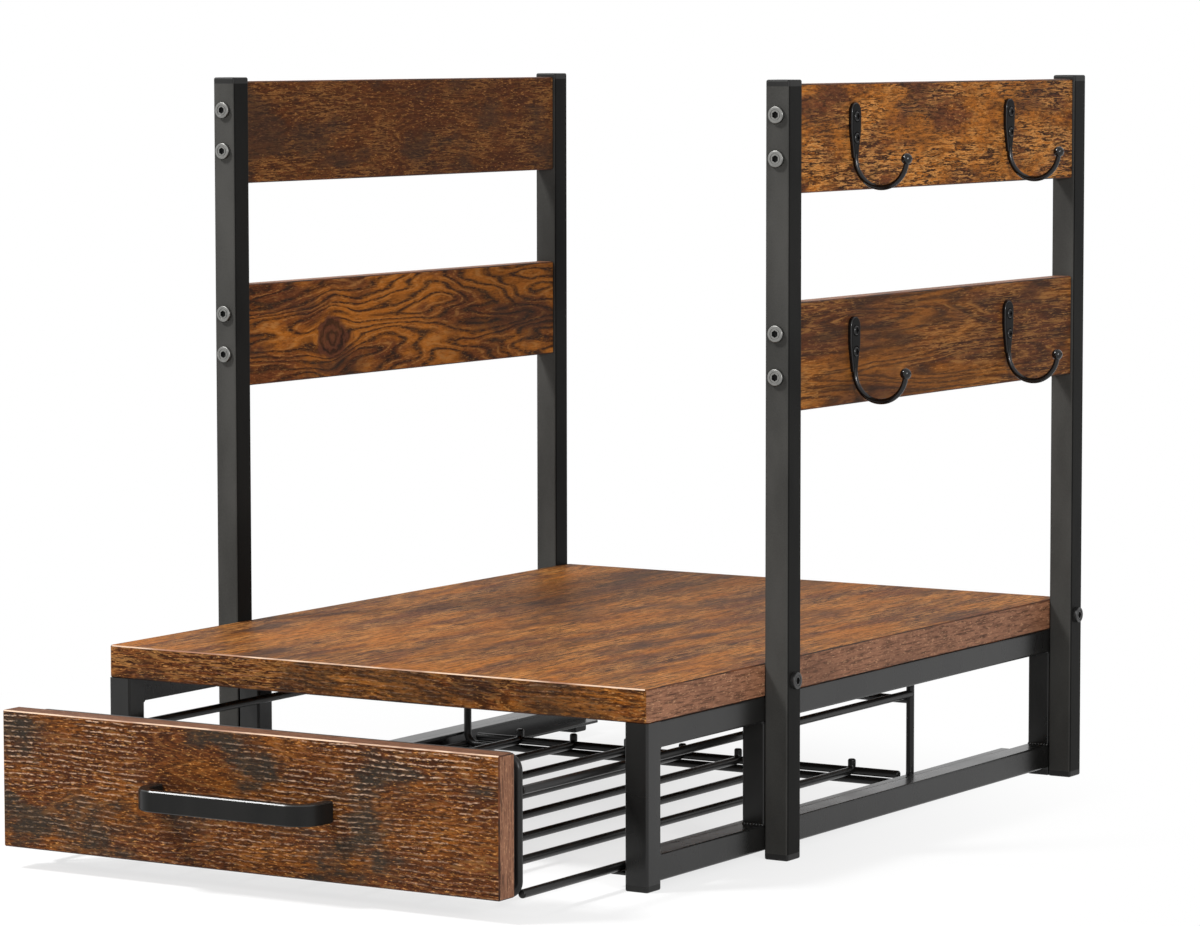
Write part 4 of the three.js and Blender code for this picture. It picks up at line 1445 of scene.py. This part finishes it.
# %% [markdown]
# ## Screws of the drawer
# Four pan screws hold the drawer together: two run through the drawer front into the feet of the
# handle, and two run through the brackets into the drawer front. Their heads show only from behind, but
# a bare hole would show there too, so each kind is turned once and copied as the bolts are.

# %% Drawer screws
DRAWER_SCREWS = {"handle_screw": 2.0 * MM, "bracket_screw": 1.8 * MM}

for kind, head_height in DRAWER_SCREWS.items():
    low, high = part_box(f"{kind}_right")
    screw = pan_screw(kind, high.x - low.x, head_height, high.y - low.y - head_height)
    screw.data.materials.append(zinc)
    for side in SIDES:
        name = f"{kind}_{side}"
        piece = twin(screw, f"{name}_zinc", aimed(seat_of(name, Y, head_height), Y))
        dress(piece, "drawer", "zinc_steel", name)
    discard(screw)
print("drawer screws:", len(DRAWER_SCREWS) * len(SIDES))

# %% [markdown]
# ## Floor and world
# The stand is photographed on white. A white floor under strong lamps would do that, but it would wash
# out the object. So the floor is pale and takes the soft shadow. Away from a point under the left
# front of the stand it fades to plain white, for the camera and for reflections only, which throws no
# extra light. The world is plain white in the same way.

# %% Floor
FLOOR_SIZE = 12.0
FLOOR_GREY = (0.95, 0.95, 0.95, 1.0)
WHITE = (1.0, 1.0, 1.0, 1.0)
NEAR_WHITE = 0.72
FADE_START = 0.2
FADE_END = 0.5
SHADOW_CENTRE = Vector((-0.12, -0.12, 0.0))


def seen_directly(tree):
    """1 for rays that come from the camera, from a mirror or through glass."""
    rays = node(tree, "ShaderNodeLightPath")
    seen = math_of(tree, "MAXIMUM", rays["Is Camera Ray"], rays["Is Glossy Ray"])
    return math_of(tree, "MAXIMUM", seen, rays["Is Transmission Ray"])


floor = added("floor", bpy.ops.mesh.primitive_plane_add, size=FLOOR_SIZE, location=(0, 0, 0))
floor_material = bpy.data.materials.new("pale_floor")
floor_material.use_nodes = True
tree = floor_material.node_tree
tree.nodes.clear()
matt = node(tree, "ShaderNodeBsdfDiffuse", FLOOR_GREY)[0]
white = node(tree, "ShaderNodeEmission", WHITE, 1.0)[0]
place = node(tree, "ShaderNodeTexCoord")["Object"]
away = vector_of(tree, "LENGTH", shifted(tree, place, -SHADOW_CENTRE))
fade = mask(tree, away, FADE_START, FADE_END, bottom=NEAR_WHITE)
share = math_of(tree, "MULTIPLY", fade, seen_directly(tree))
node(tree, "ShaderNodeOutputMaterial", node(tree, "ShaderNodeMixShader", share, matt, white)[0])
floor.data.materials.append(floor_material)
print("floor:", FLOOR_SIZE, "m wide, plain white from", FADE_END, "m")

# %% World
WORLD_LIGHT = 0.26

world = bpy.data.worlds.new("studio")
bpy.context.scene.world = world
world.use_nodes = True
tree = world.node_tree
tree.nodes.clear()
strength = node(tree, "ShaderNodeMapRange", seen_directly(tree), 0.0, 1.0, WORLD_LIGHT, 1.0)[0]
node(tree, "ShaderNodeOutputWorld", node(tree, "ShaderNodeBackground", WHITE, strength)[0])
print("world: lights with", WORLD_LIGHT, "and looks white")

# %% [markdown]
# ## Lamps
# The light comes from soft boxes. One large lamp would be simplest, but it leaves black steel without
# a shape. Here the key stands high at the left of the front and gives the main light. A small lamp
# further to the left puts a bright line on the trimmed edges. A strip at the right of the front lights
# the sides and draws the highlights on the hooks, and a weak wide lamp fills the right.

# %% Lamps
AIM = Vector((0.0, 0.0, 0.12))
# For each lamp: the way to it, its distance and size in metres, and the brightness of a white card that
# faces it.
LAMPS = {
    "key": (Vector((-0.39, -0.53, 0.75)), 2.2, 0.34, 0.98),
    "top": (Vector((-0.59, -0.29, 0.75)), 2.0, 0.25, 0.15),
    "fill": (Vector((1.0, -0.45, 0.5)), 2.5, 0.9, 0.14),
    "strip": (Vector((0.81, -0.53, 0.25)), 2.5, 0.35, 0.38),
}

for name, (direction, distance, size, brightness) in LAMPS.items():
    place = AIM + direction.normalized() * distance
    bpy.ops.object.light_add(type="AREA", location=place)
    lamp = bpy.context.object
    lamp.name = name
    lamp.data.shape = "SQUARE"
    lamp.data.size = size
    lamp.data.energy = brightness * (math.pi * distance) ** 2
    lamp.rotation_euler = (AIM - place).to_track_quat("-Z", "Y").to_euler()
bpy.context.scene.view_settings.view_transform = "Standard"
print("lamps:", list(LAMPS))
